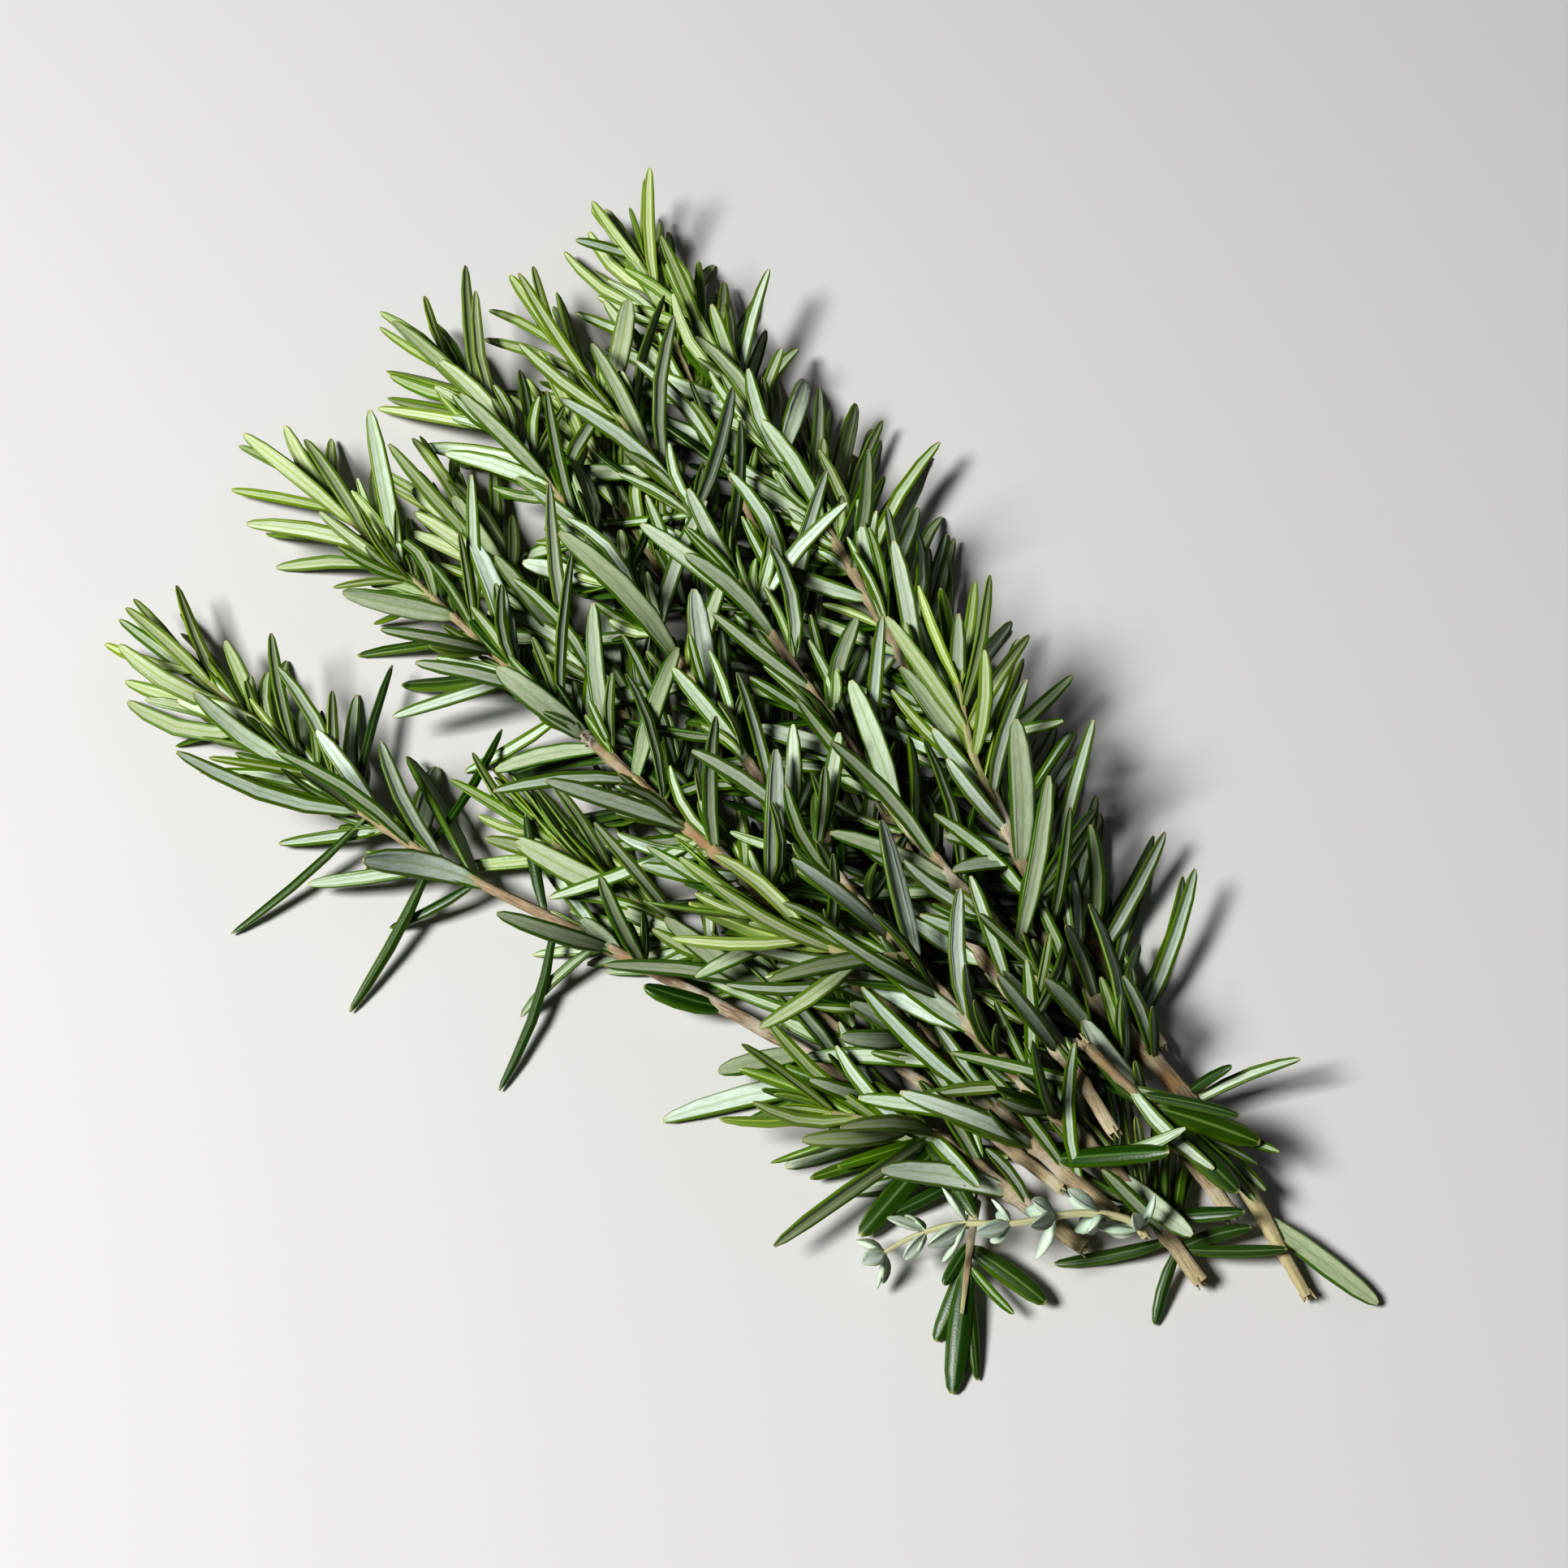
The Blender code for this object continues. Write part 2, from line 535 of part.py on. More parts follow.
def plan_sprigs():
    """The stems and leaves of every sprig. All stems come first, so that leaves give way to them."""
    occupied = Occupied()
    names = list(SPRIGS)
    stems = {}
    for owner, name in enumerate(names):
        design = SPRIGS[name]
        roll = random.Random(design["seed"]).uniform(0, math.pi / 2)
        if name == LOWEST:
            roll = math.pi / 4
        main = Stem(design["route"], design["radius"], roll, design["heel"])
        shoots = [Stem(route, SIDE_SHOOT_RADIUS, roll) for route in design["shoots"]]
        stems[name] = [main, *shoots]
        for stem in stems[name]:
            occupied.add_stem(owner, stem)
    thyme = Stem(THYME["route"], THYME["radius"], 0.0)
    occupied.add_stem(len(names), thyme)
    leaves = {name: [] for name in names}
    for name, *shape in CHOSEN_LEAVES:
        owner = names.index(name)
        leaf = chosen_leaf(occupied, owner, stems[name][0], *shape)
        if leaf is not None:
            leaves[name].append(leaf)
            occupied.add_leaf(owner, leaf)
    leaves["thyme_sprig"] = thyme_leaves(thyme, occupied, len(names))
    for owner, name in enumerate(names):
        for number, stem in enumerate(stems[name]):
            for growth in leaf_pairs(stem, SPRIGS[name], number > 0):
                leaf = clear_leaf(occupied, owner, stem, growth)
                if leaf is not None:
                    leaves[name].append(leaf)
                    occupied.add_leaf(owner, leaf)
    stems["thyme_sprig"] = [thyme]
    return stems, leaves


def stem_solid(stem, name):
    """The stem as a tapered tube with closed ends."""
    curve = bpy.data.curves.new(name, "CURVE")
    curve.dimensions = "3D"
    curve.twist_mode = "Z_UP"
    curve.bevel_depth = 1.0
    curve.bevel_resolution = 0
    curve.use_fill_caps = True
    count = max(3, round(stem.length / STEM_STEP) + 1)
    spline = curve.splines.new("POLY")
    spline.points.add(count - 1)
    for point, distance in zip(spline.points, np.linspace(0, stem.length, count)):
        place, _, _, radius = stem.at(distance)
        point.co = (*place, 1.0)
        point.radius = radius
        point.tilt = stem.roll
    tube = bpy.data.objects.new(name, curve)
    bpy.context.scene.collection.objects.link(tube)
    bpy.context.view_layer.update()
    mesh = bpy.data.meshes.new_from_object(tube.evaluated_get(bpy.context.evaluated_depsgraph_get()))
    bpy.data.objects.remove(tube)
    shape = bmesh.new()
    shape.from_mesh(mesh)
    bmesh.ops.remove_doubles(shape, verts=shape.verts, dist=0.0001)
    bmesh.ops.recalc_face_normals(shape, faces=shape.faces)
    shape.to_mesh(mesh)
    shape.free()
    return mesh


def leaf_solid(leaf, name):
    """A bent three-sided needle: flat below, ridged above, with its root sunk into the stem.

    A tip that lands touches the surface.
    """
    shape = bmesh.new()
    _, side, face = leaf.station(SECTIONS[-1][0])
    rings = []
    for t, scale in SECTIONS:
        point, _, _ = leaf.station(t)
        rings.append([
            shape.verts.new(point + side * x * scale * leaf.half_width + face * y * scale * leaf.half_thickness)
            for x, y in SECTION_CORNERS
        ])
    point, _, face = leaf.station(1.0)
    tip = shape.verts.new(point - (np.array((0, 0, 1)) if leaf.lands else face) * leaf.half_thickness)
    root, middle = rings
    shape.faces.new(root)
    for i in range(3):
        j = (i + 1) % 3
        shape.faces.new((root[i], middle[i], middle[j], root[j]))
        shape.faces.new((middle[i], tip, middle[j]))
    bmesh.ops.triangulate(shape, faces=shape.faces)
    bmesh.ops.recalc_face_normals(shape, faces=shape.faces)
    mesh = bpy.data.meshes.new(name)
    shape.to_mesh(mesh)
    shape.free()
    return mesh


def evaluated_mesh(thing):
    bpy.context.view_layer.update()
    return bpy.data.meshes.new_from_object(thing.evaluated_get(bpy.context.evaluated_depsgraph_get()))


def fused(name, stem_meshes, leaf_meshes):
    """One closed solid from a stem, its side shoots and its leaves."""
    operands = bpy.data.collections.new(name + "_growth")
    bpy.context.scene.collection.children.link(operands)
    main = bpy.data.objects.new(name, stem_meshes[0])
    bpy.context.scene.collection.objects.link(main)
    for mesh in stem_meshes[1:] + leaf_meshes:
        operands.objects.link(bpy.data.objects.new(mesh.name, mesh))
    union = main.modifiers.new("fuse", "BOOLEAN")
    union.operation = "UNION"
    union.operand_type = "COLLECTION"
    union.solver = "MANIFOLD"
    union.collection = operands
    mesh = evaluated_mesh(main)
    bpy.data.objects.remove(main)
    for thing in list(operands.objects):
        bpy.data.objects.remove(thing)
    bpy.data.collections.remove(operands)
    return mesh


def tidy_shell(mesh):
    """Keeps the outer shell, so hollows that leaves sealed off are filled, and merges what fusing split."""
    shape = bmesh.new()
    shape.from_mesh(mesh)
    waiting = set(shape.faces)
    shells = []
    while waiting:
        front = [waiting.pop()]
        shell = []
        while front:
            face = front.pop()
            shell.append(face)
            for edge in face.edges:
                for other in edge.link_faces:
                    if other in waiting:
                        waiting.remove(other)
                        front.append(other)
        shells.append(shell)
    shells.sort(key=len)
    scraps = [face for shell in shells[:-1] for face in shell]
    bmesh.ops.delete(shape, geom=scraps, context="FACES")
    bmesh.ops.dissolve_limit(shape, angle_limit=FLAT_ANGLE, verts=shape.verts, edges=shape.edges)
    bmesh.ops.triangulate(shape, faces=shape.faces)
    shape.to_mesh(mesh)
    shape.free()


def press_flat(mesh):
    """Cuts off what reaches below the surface, which leaves the flat spot that the stem rests on."""
    shape = bmesh.new()
    shape.from_mesh(mesh)
    if min(v.co.z for v in shape.verts) < 0:
        cut = bmesh.ops.bisect_plane(
            shape, geom=shape.verts[:] + shape.edges[:] + shape.faces[:], plane_co=(0, 0, 0),
            plane_no=(0, 0, 1), clear_inner=True,
        )
        edges = [e for e in cut["geom_cut"] if isinstance(e, bmesh.types.BMEdge)]
        bmesh.ops.holes_fill(shape, edges=edges, sides=0)
        bmesh.ops.triangulate(shape, faces=shape.faces)
    shape.to_mesh(mesh)
    shape.free()


def leaf_material(name, colour):
    material = bpy.data.materials.new(name)
    material.use_nodes = True
    surface = material.node_tree.nodes["Principled BSDF"]
    surface.inputs["Base Color"].default_value = (*colour, 1.0)
    surface.inputs["Roughness"].default_value = 0.6
    surface.inputs["Metallic"].default_value = 0.0
    return material


def add_node(name, mesh, colour, bunch):
    """Puts a finished solid into the bunch at its real size, with a material of its own."""
    mesh.transform(Matrix.Scale(MM, 4))
    mesh.materials.clear()
    mesh.materials.append(leaf_material(name + "_leaf", colour))
    mesh.name = name
    bunch.objects.link(bpy.data.objects.new(name, mesh))


def build():
    for thing in list(bpy.data.objects):
        bpy.data.objects.remove(thing)
    bunch = bpy.data.collections.new("rosemary_bundle")
    bpy.context.scene.collection.children.link(bunch)
    stems, leaves = plan_sprigs()
    for name in stems:
        stem_meshes = [stem_solid(stem, name + "_stem") for stem in stems[name]]
        for mesh in stem_meshes:
            press_flat(mesh)
        leaf_meshes = [leaf_solid(leaf, name + "_leaf") for leaf in leaves[name]]
        solid = fused(name, stem_meshes, leaf_meshes)
        tidy_shell(solid)
        add_node(name, solid, THYME_COLOUR if name == "thyme_sprig" else ROSEMARY_COLOUR, bunch)


build()
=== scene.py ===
"""The looks of a loose, untied bunch of cut rosemary, with a short sprig of thyme across its cut ends.

Each sprig of the frame is replaced by its bark and its leaves. The stems, the side shoots and the main leaf
pairs grow by the same rule, from the same sizes and seeds, as the solids of the frame do, so each finer piece
keeps its sprig's form. Small leaves in the axils and low in the bunch, the bow of each blade, bark ridges and
cut wood are added. The layout is worked out in millimetres and each finished mesh is in metres.
"""

import math
import random
from typing import NamedTuple

import bpy
import numpy as np
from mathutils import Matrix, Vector


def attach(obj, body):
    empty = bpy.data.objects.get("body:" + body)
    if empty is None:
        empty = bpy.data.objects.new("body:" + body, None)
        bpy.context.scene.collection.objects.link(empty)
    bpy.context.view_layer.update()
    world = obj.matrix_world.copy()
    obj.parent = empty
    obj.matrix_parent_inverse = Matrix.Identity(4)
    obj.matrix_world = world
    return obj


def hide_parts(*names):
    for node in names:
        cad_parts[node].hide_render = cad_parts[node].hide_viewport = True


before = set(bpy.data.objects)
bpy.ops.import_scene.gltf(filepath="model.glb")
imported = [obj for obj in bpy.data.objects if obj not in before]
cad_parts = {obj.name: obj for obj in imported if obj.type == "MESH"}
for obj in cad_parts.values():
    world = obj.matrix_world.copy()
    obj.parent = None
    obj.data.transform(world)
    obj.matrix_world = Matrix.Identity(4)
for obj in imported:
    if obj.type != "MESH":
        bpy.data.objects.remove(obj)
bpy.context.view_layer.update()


# The sprigs. Each is a woody stem, four-sided and tapered, that lies in a shallow curve over the ones below.
# A route runs from the cut end to the growing tip, in millimetres. A sprig also has its stem's radius at the
# cut end, the bare length above it, the length of a torn heel, a stretch with few leaves, and side shoots.
MM = 0.001
ROUTE_STEP = 2.0
# A stem keeps most of its thickness to half way and ends thin and soft. One torn off with a heel is thin at
# its lower end too.
STEM_TIP = 0.45
STEM_TAPER = 1.6
HEEL_THINNESS = 0.5
SIDE_SHOOT_RADIUS = 1.0
SIDE_SHOOT_BARE = 3.0


class Sprig(NamedTuple):
    """One sprig: its random seed, and then its sizes and route as above."""

    seed: int
    radius: float
    bare: float
    route: tuple
    heel: float = 0
    sparse: tuple = (0, 0)
    shoots: tuple = ()


SPRIGS = {
    "sprig_middle": Sprig(3, 1.9, 9, (
        (-127, 9, 4), (-105, 8, 8), (-67, 13, 20), (-18, 12, 23), (38, 3, 18), (84, -4, 13), (116, -6, 12),
    ), shoots=(((-52, 13, 24), (-45, 23, 27), (-30, 31, 30)),)),
    "sprig_centre": Sprig(4, 1.8, 20, (
        (-122, -3, 7), (-81, -5, 15), (-37, -4, 22), (9, -11, 20), (61, -22, 15), (107, -27, 12),
    )),
    "sprig_right": Sprig(5, 2.1, 46, (
        (-141, -4, 3), (-104, -12, 7), (-67, -11, 14), (-36, -22, 18), (-5, -29, 17), (35, -40, 14),
        (95, -54, 11),
    ), heel=27, shoots=(((-38, -21, 18), (-27, -24, 23), (-16, -30, 28)),)),
    "sprig_left": Sprig(2, 1.8, 9, (
        (-109, 14, 9), (-71, 19, 13), (-25, 24, 18), (32, 28, 14), (77, 31, 11), (109, 33, 10),
    )),
    "sprig_outer_left": Sprig(1, 1.9, 10, (
        (-109, 21, 5), (-58, 32, 5), (-7, 51, 7), (37, 68, 9), (92, 77, 9),
    ), sparse=(56, 128), shoots=(((-78, 26, 5), (-72, 32, 9), (-62, 41, 12)),)),
    "sprig_far": Sprig(7, 1.6, 8, (
        (-99, 6, 17), (-86, 4, 19), (-71, 3, 19), (-29, -5, 12), (20, -22, 9), (69, -39, 8), (116, -57, 8),
    )),
    "shoot_over_cut_ends": Sprig(14, 1.1, 12, ((-84, 1, 24), (-95, -1, 20), (-104, -4, 16))),
    "shoot_below_cut_ends": Sprig(12, 1.1, 22, ((-90, 30, 4), (-96, 37, 5), (-104, 46, 5))),
    "sprig_under_left": Sprig(8, 1.5, 4, ((-98, 16, 3.5), (-60, 24, 5), (-20, 36, 6), (20, 46, 7))),
    "sprig_under_middle": Sprig(9, 1.5, 4, (
        (-92, 13, 4), (-50, 16, 5), (0, 17, 6), (50, 16, 7), (88, 14, 8),
    )),
    "sprig_under_centre": Sprig(10, 1.9, 4, (
        (-102, 1, 1.1), (-50, 2, 1.0), (0, 0, 0.8), (45, -9, 5), (88, -17, 8),
    )),
    "sprig_under_right": Sprig(11, 1.5, 4, ((-90, -17, 4), (-50, -24, 5), (0, -35, 6), (50, -49, 6))),
}
# The sprig under all the others. One side of its square stem lies flat on the surface at the origin.
LOWEST = "sprig_under_centre"


def unit(vector):
    return vector / np.linalg.norm(vector)


def between(ends, share):
    return ends[0] + (ends[1] - ends[0]) * share


def smooth_route(points):
    """Closely spaced points on one smooth curve through the route's own points."""
    route = np.array(points, float)
    ends = np.vstack([2 * route[0] - route[1], route, 2 * route[-1] - route[-2]])
    curve = []
    for before, start, end, after in zip(ends, ends[1:], ends[2:], ends[3:]):
        steps = max(2, round(np.linalg.norm(end - start) / ROUTE_STEP))
        for i in range(steps):
            t = i / steps
            curve.append(
                start
                + 0.5 * t * (end - before)
                + 0.5 * t * t * (2 * before - 5 * start + 4 * end - after)
                + 0.5 * t ** 3 * (3 * start - before - 3 * end + after)
            )
    curve.append(route[-1])
    return np.array(curve)


class Stem:
    """A tapered four-sided stem along a smooth route, rolled about it by an angle."""

    def __init__(self, points, radius, roll, heel=0.0, tip_radius=STEM_TIP):
        self.points = smooth_route(points)
        self.roll = roll
        steps = np.linalg.norm(np.diff(self.points, axis=0), axis=1)
        self.along = np.concatenate([[0.0], np.cumsum(steps)])
        self.length = self.along[-1]
        self.heading = np.gradient(self.points, axis=0)
        self.heading /= np.linalg.norm(self.heading, axis=1)[:, None]
        share = self.along / self.length
        self.radius = tip_radius + (radius - tip_radius) * (1 - share ** STEM_TAPER)
        if heel:
            self.radius *= np.minimum(1.0, HEEL_THINNESS + (1 - HEEL_THINNESS) * self.along / heel)

    def at(self, distance):
        """The point, the heading, the level direction across and the radius, so far from the cut end."""
        def read(values):
            return np.array([np.interp(distance, self.along, values[:, i]) for i in range(3)])
        heading = unit(read(self.heading))
        level = unit(np.cross(heading, (0, 0, 1)))
        return read(self.points), heading, level, float(np.interp(distance, self.along, self.radius))


# The leaves. A rosemary leaf is a narrow leathery blade with its edges rolled under, so its section is a low
# arch with a felted hollow below and a raised midrib. Leaves stand in opposite pairs, each pair turned by a
# quarter. A leaf bends clear of other sprigs, and lands on the surface where it would go through.

# Space kept between two sprigs, how far from a leaf's root anything that it could touch begins, the most runs
# of stem and leaf in the bunch, and the least number that is divided by.
GAP = 0.4
NEARBY = 60.0
MOST_RUNS = 20000
TINY = 1e-9
RUN_ENDS = (0.0, 0.5, 1.0)
# The sizes of a grown leaf. Leaves near the tip are young and smaller.
LEAF_LENGTH = 26.0
LEAF_HALF_WIDTH = 1.35
LEAF_HALF_THICKNESS = 0.55
YOUNG_LENGTH = 20.0
YOUNG_HALF_WIDTH = 0.95
YOUNG_STRETCH = 18.0
ROOT_OUT = 0.2

# How much grown leaves differ: in length, in width with one in eight broad, in place and in spread.
LENGTH_RANGE = (0.72, 1.2)
WIDTH_RANGE = (0.8, 1.12)
BROAD_SHARE = 0.12
BROAD_FACTOR = 1.4
TURN_SPREAD = 0.2
ANGLE_SPREAD = (4.0, 11.0)

# How far a leaf's tip is bent, in shares of its length: towards the growing tip, off the stem, aside, down.
LIFT = 0.12
CURL = 0.01
CURL_SPREAD = 0.14
SWAY_SPREAD = 0.13
DROOP = 0.12

# How far a leaf twists to lie level, as a share of the way, and how far round its blade may face to twist
# this way and not the other.
LEVELLED = (0.3, 0.9)
MOST_ROUND = -0.5

# The space between leaf pairs, and how far a leaf stands off the stem, at the tip and on old wood. Leaves
# spread soon below the tip and then ever less, by a power. Leaves have fallen from some places just above the
# cut and, on one sprig, from a stretch half way.
TIP_PAIR = 0.5
PAIR_SPACING = (4.5, 7.4)
SPREAD_ANGLE = (15.0, 50.0)
SPREAD_POWER = 0.6
LEAST_ANGLE = 9.0
SHOOT_SEED = 100
OLD_STRETCH = 75.0
SPARSE_KEEP = 0.3
LOWER_STRETCH = 24.0
LOWER_KEEP = 0.9

# Above this height over the surface a leaf may point down, the more steeply the higher its root is.
FREE_HEIGHT = 2.5
STEEP_HEIGHT = 14.0
LEVEL_ENOUGH = 0.12
LANDING = 0.25

# What a leaf tries in turn until it is clear of other sprigs: turn about the stem, change of angle, length.
TRIES = (
    (0, 0, 1.0), (16, 0, 1.0), (-16, 0, 1.0), (0, -12, 1.0), (0, 12, 1.0), (32, -6, 1.0), (-32, -6, 1.0),
    (20, -20, 1.0), (-20, -20, 1.0), (50, -10, 0.9), (-50, -10, 0.9), (0, -28, 0.85), (30, -30, 0.8),
    (-30, -30, 0.8), (0, 0, 0.6), (40, 0, 0.6), (-40, 0, 0.6),
)
TIP_LIFTS = (0, 2, -2, 4, -4, 6, 9)
# The leaves that stand out in the bunch, by sprig: how far up its stem the leaf grows, where its tip is, its
# half width, which face is up, and how far its middle is bowed aside as a share of its length.
UNDERSIDE = 1.0
TOP = -1.0
CHOSEN_LEAVES = {
    "sprig_right": (
        (16, (-150, -13, 2), 2.1, UNDERSIDE, 0.0), (32, (-123, -10, 9), 1.3, UNDERSIDE, 0.05),
        (42, (-103, -20, 15), 1.1, TOP, 0.05), (40, (-110, -31, 14), 1.3, UNDERSIDE, -0.08),
        (96, (-45, -3, 23), 1.9, UNDERSIDE, 0.06), (98, (-38, -7, 26), 1.7, UNDERSIDE, 0.08),
        (101, (-34, -44, 18), 1.5, UNDERSIDE, 0.0), (106, (-5, -25, 25), 2.2, UNDERSIDE, 0.04),
        (109, (-20, -20, 27), 1.7, UNDERSIDE, -0.04), (120, (-13, -49, 20), 1.4, UNDERSIDE, 0.05),
        (124, (-34, -41, 25), 1.5, UNDERSIDE, 0.05), (222, (92, -73, 15), 1.4, UNDERSIDE, -0.05),
    ),
    "sprig_far": ((226, (125, -46, 15), 1.4, UNDERSIDE, 0.04),),
    "sprig_centre": (
        (62, (-48, 8, 28), 1.6, UNDERSIDE, -0.05), (78, (-25, 10, 29), 1.9, UNDERSIDE, 0.07),
        (96, (-2, -15, 27), 2.2, UNDERSIDE, 0.03), (110, (2, 5, 26), 2.1, UNDERSIDE, 0.0),
        (148, (54, -8, 23), 2.0, UNDERSIDE, 0.03),
    ),
    "sprig_middle": (
        (7, (-126, -4, 7), 1.4, TOP, 0.07), (7, (-133, -6, 3), 1.2, TOP, -0.04),
        (9, (-107, 26, 4), 1.3, TOP, 0.05), (7, (-127, 20, 1), 1.1, TOP, -0.06),
        (14, (-124, -3, 9), 1.5, TOP, 0.0), (24, (-121, 7, 12), 2.1, UNDERSIDE, 0.03),
        (60, (-48, 20, 28), 2.1, UNDERSIDE, -0.03), (114, (-4, 1, 31), 1.7, UNDERSIDE, 0.04),
    ),
    "sprig_left": (
        (8, (-84, 3, 25), 1.3, UNDERSIDE, -0.12), (14, (-108, -2, 18), 1.3, UNDERSIDE, 0.12),
        (15, (-109, 3, 14), 1.9, TOP, 0.0), (46, (-52, 28, 24), 2.1, UNDERSIDE, 0.02),
        (78, (-27, 44, 16), 1.9, UNDERSIDE, 0.0), (104, (5, 54, 10), 1.5, UNDERSIDE, -0.05),
        (123, (26, 5, 25), 1.9, UNDERSIDE, -0.06), (133, (34, 45, 11), 1.9, UNDERSIDE, 0.1),
        (157, (57, 53, 10), 1.6, UNDERSIDE, 0.0),
    ),
    "sprig_outer_left": (
        (12, (-86, 25, 15), 1.2, UNDERSIDE, 0.1), (24, (-81, 45, 3), 1.2, TOP, 0.05),
        (32, (-81, 50, 3), 2.3, TOP, 0.0), (36, (-90, 30, 12), 1.6, UNDERSIDE, 0.0),
        (38, (-93, 33, 8), 1.6, TOP, 0.04), (62, (-42, 51, 9), 2.2, UNDERSIDE, 0.03),
        (80, (-20, 51, 10), 2.2, TOP, 0.05), (103, (-2, 52, 11), 2.0, UNDERSIDE, 0.0),
        (107, (-7, 71, 2), 1.1, UNDERSIDE, 0.08), (117, (-16, 83, 1), 1.0, TOP, 0.1),
        (119, (23, 46, 10), 1.1, TOP, 0.03), (132, (29, 68, 12), 1.8, UNDERSIDE, -0.04),
        (134, (24, 79, 2), 1.1, TOP, 0.06), (144, (15, 95, 1), 1.1, TOP, 0.05),
        (146, (43, 37, 6), 0.9, TOP, -0.06), (156, (62, 67, 14), 1.7, UNDERSIDE, 0.04),
        (160, (43, 103, 1), 1.0, TOP, 0.05), (163, (69, 45, 6), 0.9, TOP, 0.05),
        (194, (102, 77, 9), 1.3, UNDERSIDE, 0.0), (196, (114, 81, 5), 1.4, UNDERSIDE, 0.0),
    ),
    "shoot_over_cut_ends": (
        (14, (-112, -12, 21), 1.2, TOP, 0.05), (18, (-117, -13, 16), 2.3, TOP, 0.03),
        (20, (-121, -4, 15), 2.3, TOP, -0.03),
    ),
    "shoot_below_cut_ends": (
        (8, (-98, 45, 5), 1.2, TOP, 0.0), (9, (-112, 33, 4), 2.0, TOP, 0.04),
        (11, (-104, 52, 1), 1.8, TOP, 0.05), (12, (-110, 39, 5), 0.9, UNDERSIDE, 0.06),
        (13, (-114, 51, 1), 1.1, TOP, 0.0), (13, (-113, 56, 1), 2.2, TOP, 0.0),
    ),
}


class Growth(NamedTuple):
    """How a leaf grows: its place on the stem, turn about it, angle off it, size, age, twist and bends."""

    distance: float
    turn: float
    angle: float
    length: float
    half_width: float
    age: float
    level: float = 0.0
    curl: float = 0.0
    sway: float = 0.0
    droop: float = 0.0


class Leaf:
    """One leaf: straight from its root along its heading, and drawn aside towards its tip by its bow.

    A leaf whose tip would go through the surface is bent to land on it, and turns flat towards its tip.
    """

    def __init__(self, root, heading, side, bow, length, half_width, age):
        self.root = root
        self.heading = heading
        self.side = side
        self.bow = bow
        self.length = length
        self.half_width = half_width
        self.half_thickness = LEAF_HALF_THICKNESS
        self.age = age
        tip_height = root[2] + length * (heading[2] + bow[2])
        self.lands = tip_height < self.half_thickness
        if self.lands:
            self.bow = bow + np.array([0, 0, (self.half_thickness - tip_height) / length])

    def station(self, t):
        """The midrib's point, the direction across the blade and its upper face, t of the way along."""
        heading = unit(self.heading + 2 * t * self.bow)
        side = self.side
        if self.lands:
            flat = np.cross((0, 0, 1), heading)
            side = side * (1 - t) + unit(flat) * math.copysign(t, np.dot(flat, side))
        side = unit(side - heading * np.dot(side, heading))
        face = np.cross(side, heading)
        point = self.root + self.length * (t * self.heading + t * t * self.bow)
        lowest = self.half_width * abs(side[2]) + self.half_thickness * abs(face[2])
        point[2] = max(point[2], lowest * min(1.0, t / LANDING))
        return point, side, face


class Occupied:
    """The space that stems and leaves already take up, as short straight runs with their half sizes."""

    def __init__(self):
        self.table = np.zeros((MOST_RUNS, 15))
        self.count = 0

    def add(self, owner, start, end, side, face, half_width, half_thickness):
        self.table[self.count] = (owner, *start, *end, *side, *face, half_width, half_thickness)
        self.count += 1

    def add_stem(self, owner, stem):
        for i in range(len(stem.points) - 1):
            side = unit(np.cross(stem.heading[i], (0, 0, 1)))
            face = np.cross(side, stem.heading[i])
            self.add(owner, stem.points[i], stem.points[i + 1], side, face, stem.radius[i], stem.radius[i])

    def add_leaf(self, owner, leaf):
        for start, end, side, face in runs(leaf):
            self.add(owner, start, end, side, face, leaf.half_width, leaf.half_thickness)

    def is_clear(self, owner, leaf):
        """Whether a plane with room on both sides parts the leaf from every run of the other owners."""
        table = self.table[:self.count]
        others = table[(table[:, 0] != owner) & (np.abs(table[:, 1:4] - leaf.root).max(axis=1) < NEARBY)]
        if not len(others):
            return True
        for start, end, side, face in runs(leaf):
            apart, direction = nearest(start, end, others[:, 1:4], others[:, 4:7])
            own = leaf.half_width * np.abs(direction @ side) + leaf.half_thickness * np.abs(direction @ face)
            theirs = others[:, 13] * np.abs(np.sum(direction * others[:, 7:10], axis=1))
            theirs += others[:, 14] * np.abs(np.sum(direction * others[:, 10:13], axis=1))
            if np.any(apart < own + theirs + GAP):
                return False
        return True


occupied = Occupied()


def runs(leaf):
    """The leaf as straight runs between its root, its middle and its tip."""
    stations = [leaf.station(t) for t in RUN_ENDS]
    for (start, _, _), (end, side, face) in zip(stations, stations[1:]):
        yield start, end, side, face


def nearest(start, end, starts, ends):
    """How far one run is from each of many, and the direction between the nearest points."""
    run = end - start
    others = ends - starts
    offset = start - starts
    run_square = run @ run
    other_squares = np.sum(others * others, axis=1)
    shared = others @ run
    offset_on_run = offset @ run
    offset_on_others = np.sum(others * offset, axis=1)
    spread = np.maximum(run_square * other_squares - shared * shared, TINY)
    s = np.clip((shared * offset_on_others - offset_on_run * other_squares) / spread, 0, 1)
    t = (shared * s + offset_on_others) / other_squares
    s_at_start = np.clip(-offset_on_run / run_square, 0, 1)
    s_at_end = np.clip((shared - offset_on_run) / run_square, 0, 1)
    s = np.where(t < 0, s_at_start, np.where(t > 1, s_at_end, s))
    t = np.clip(t, 0, 1)
    gaps = (start + s[:, None] * run) - (starts + t[:, None] * others)
    apart = np.linalg.norm(gaps, axis=1)
    return apart, gaps / np.maximum(apart, TINY)[:, None]


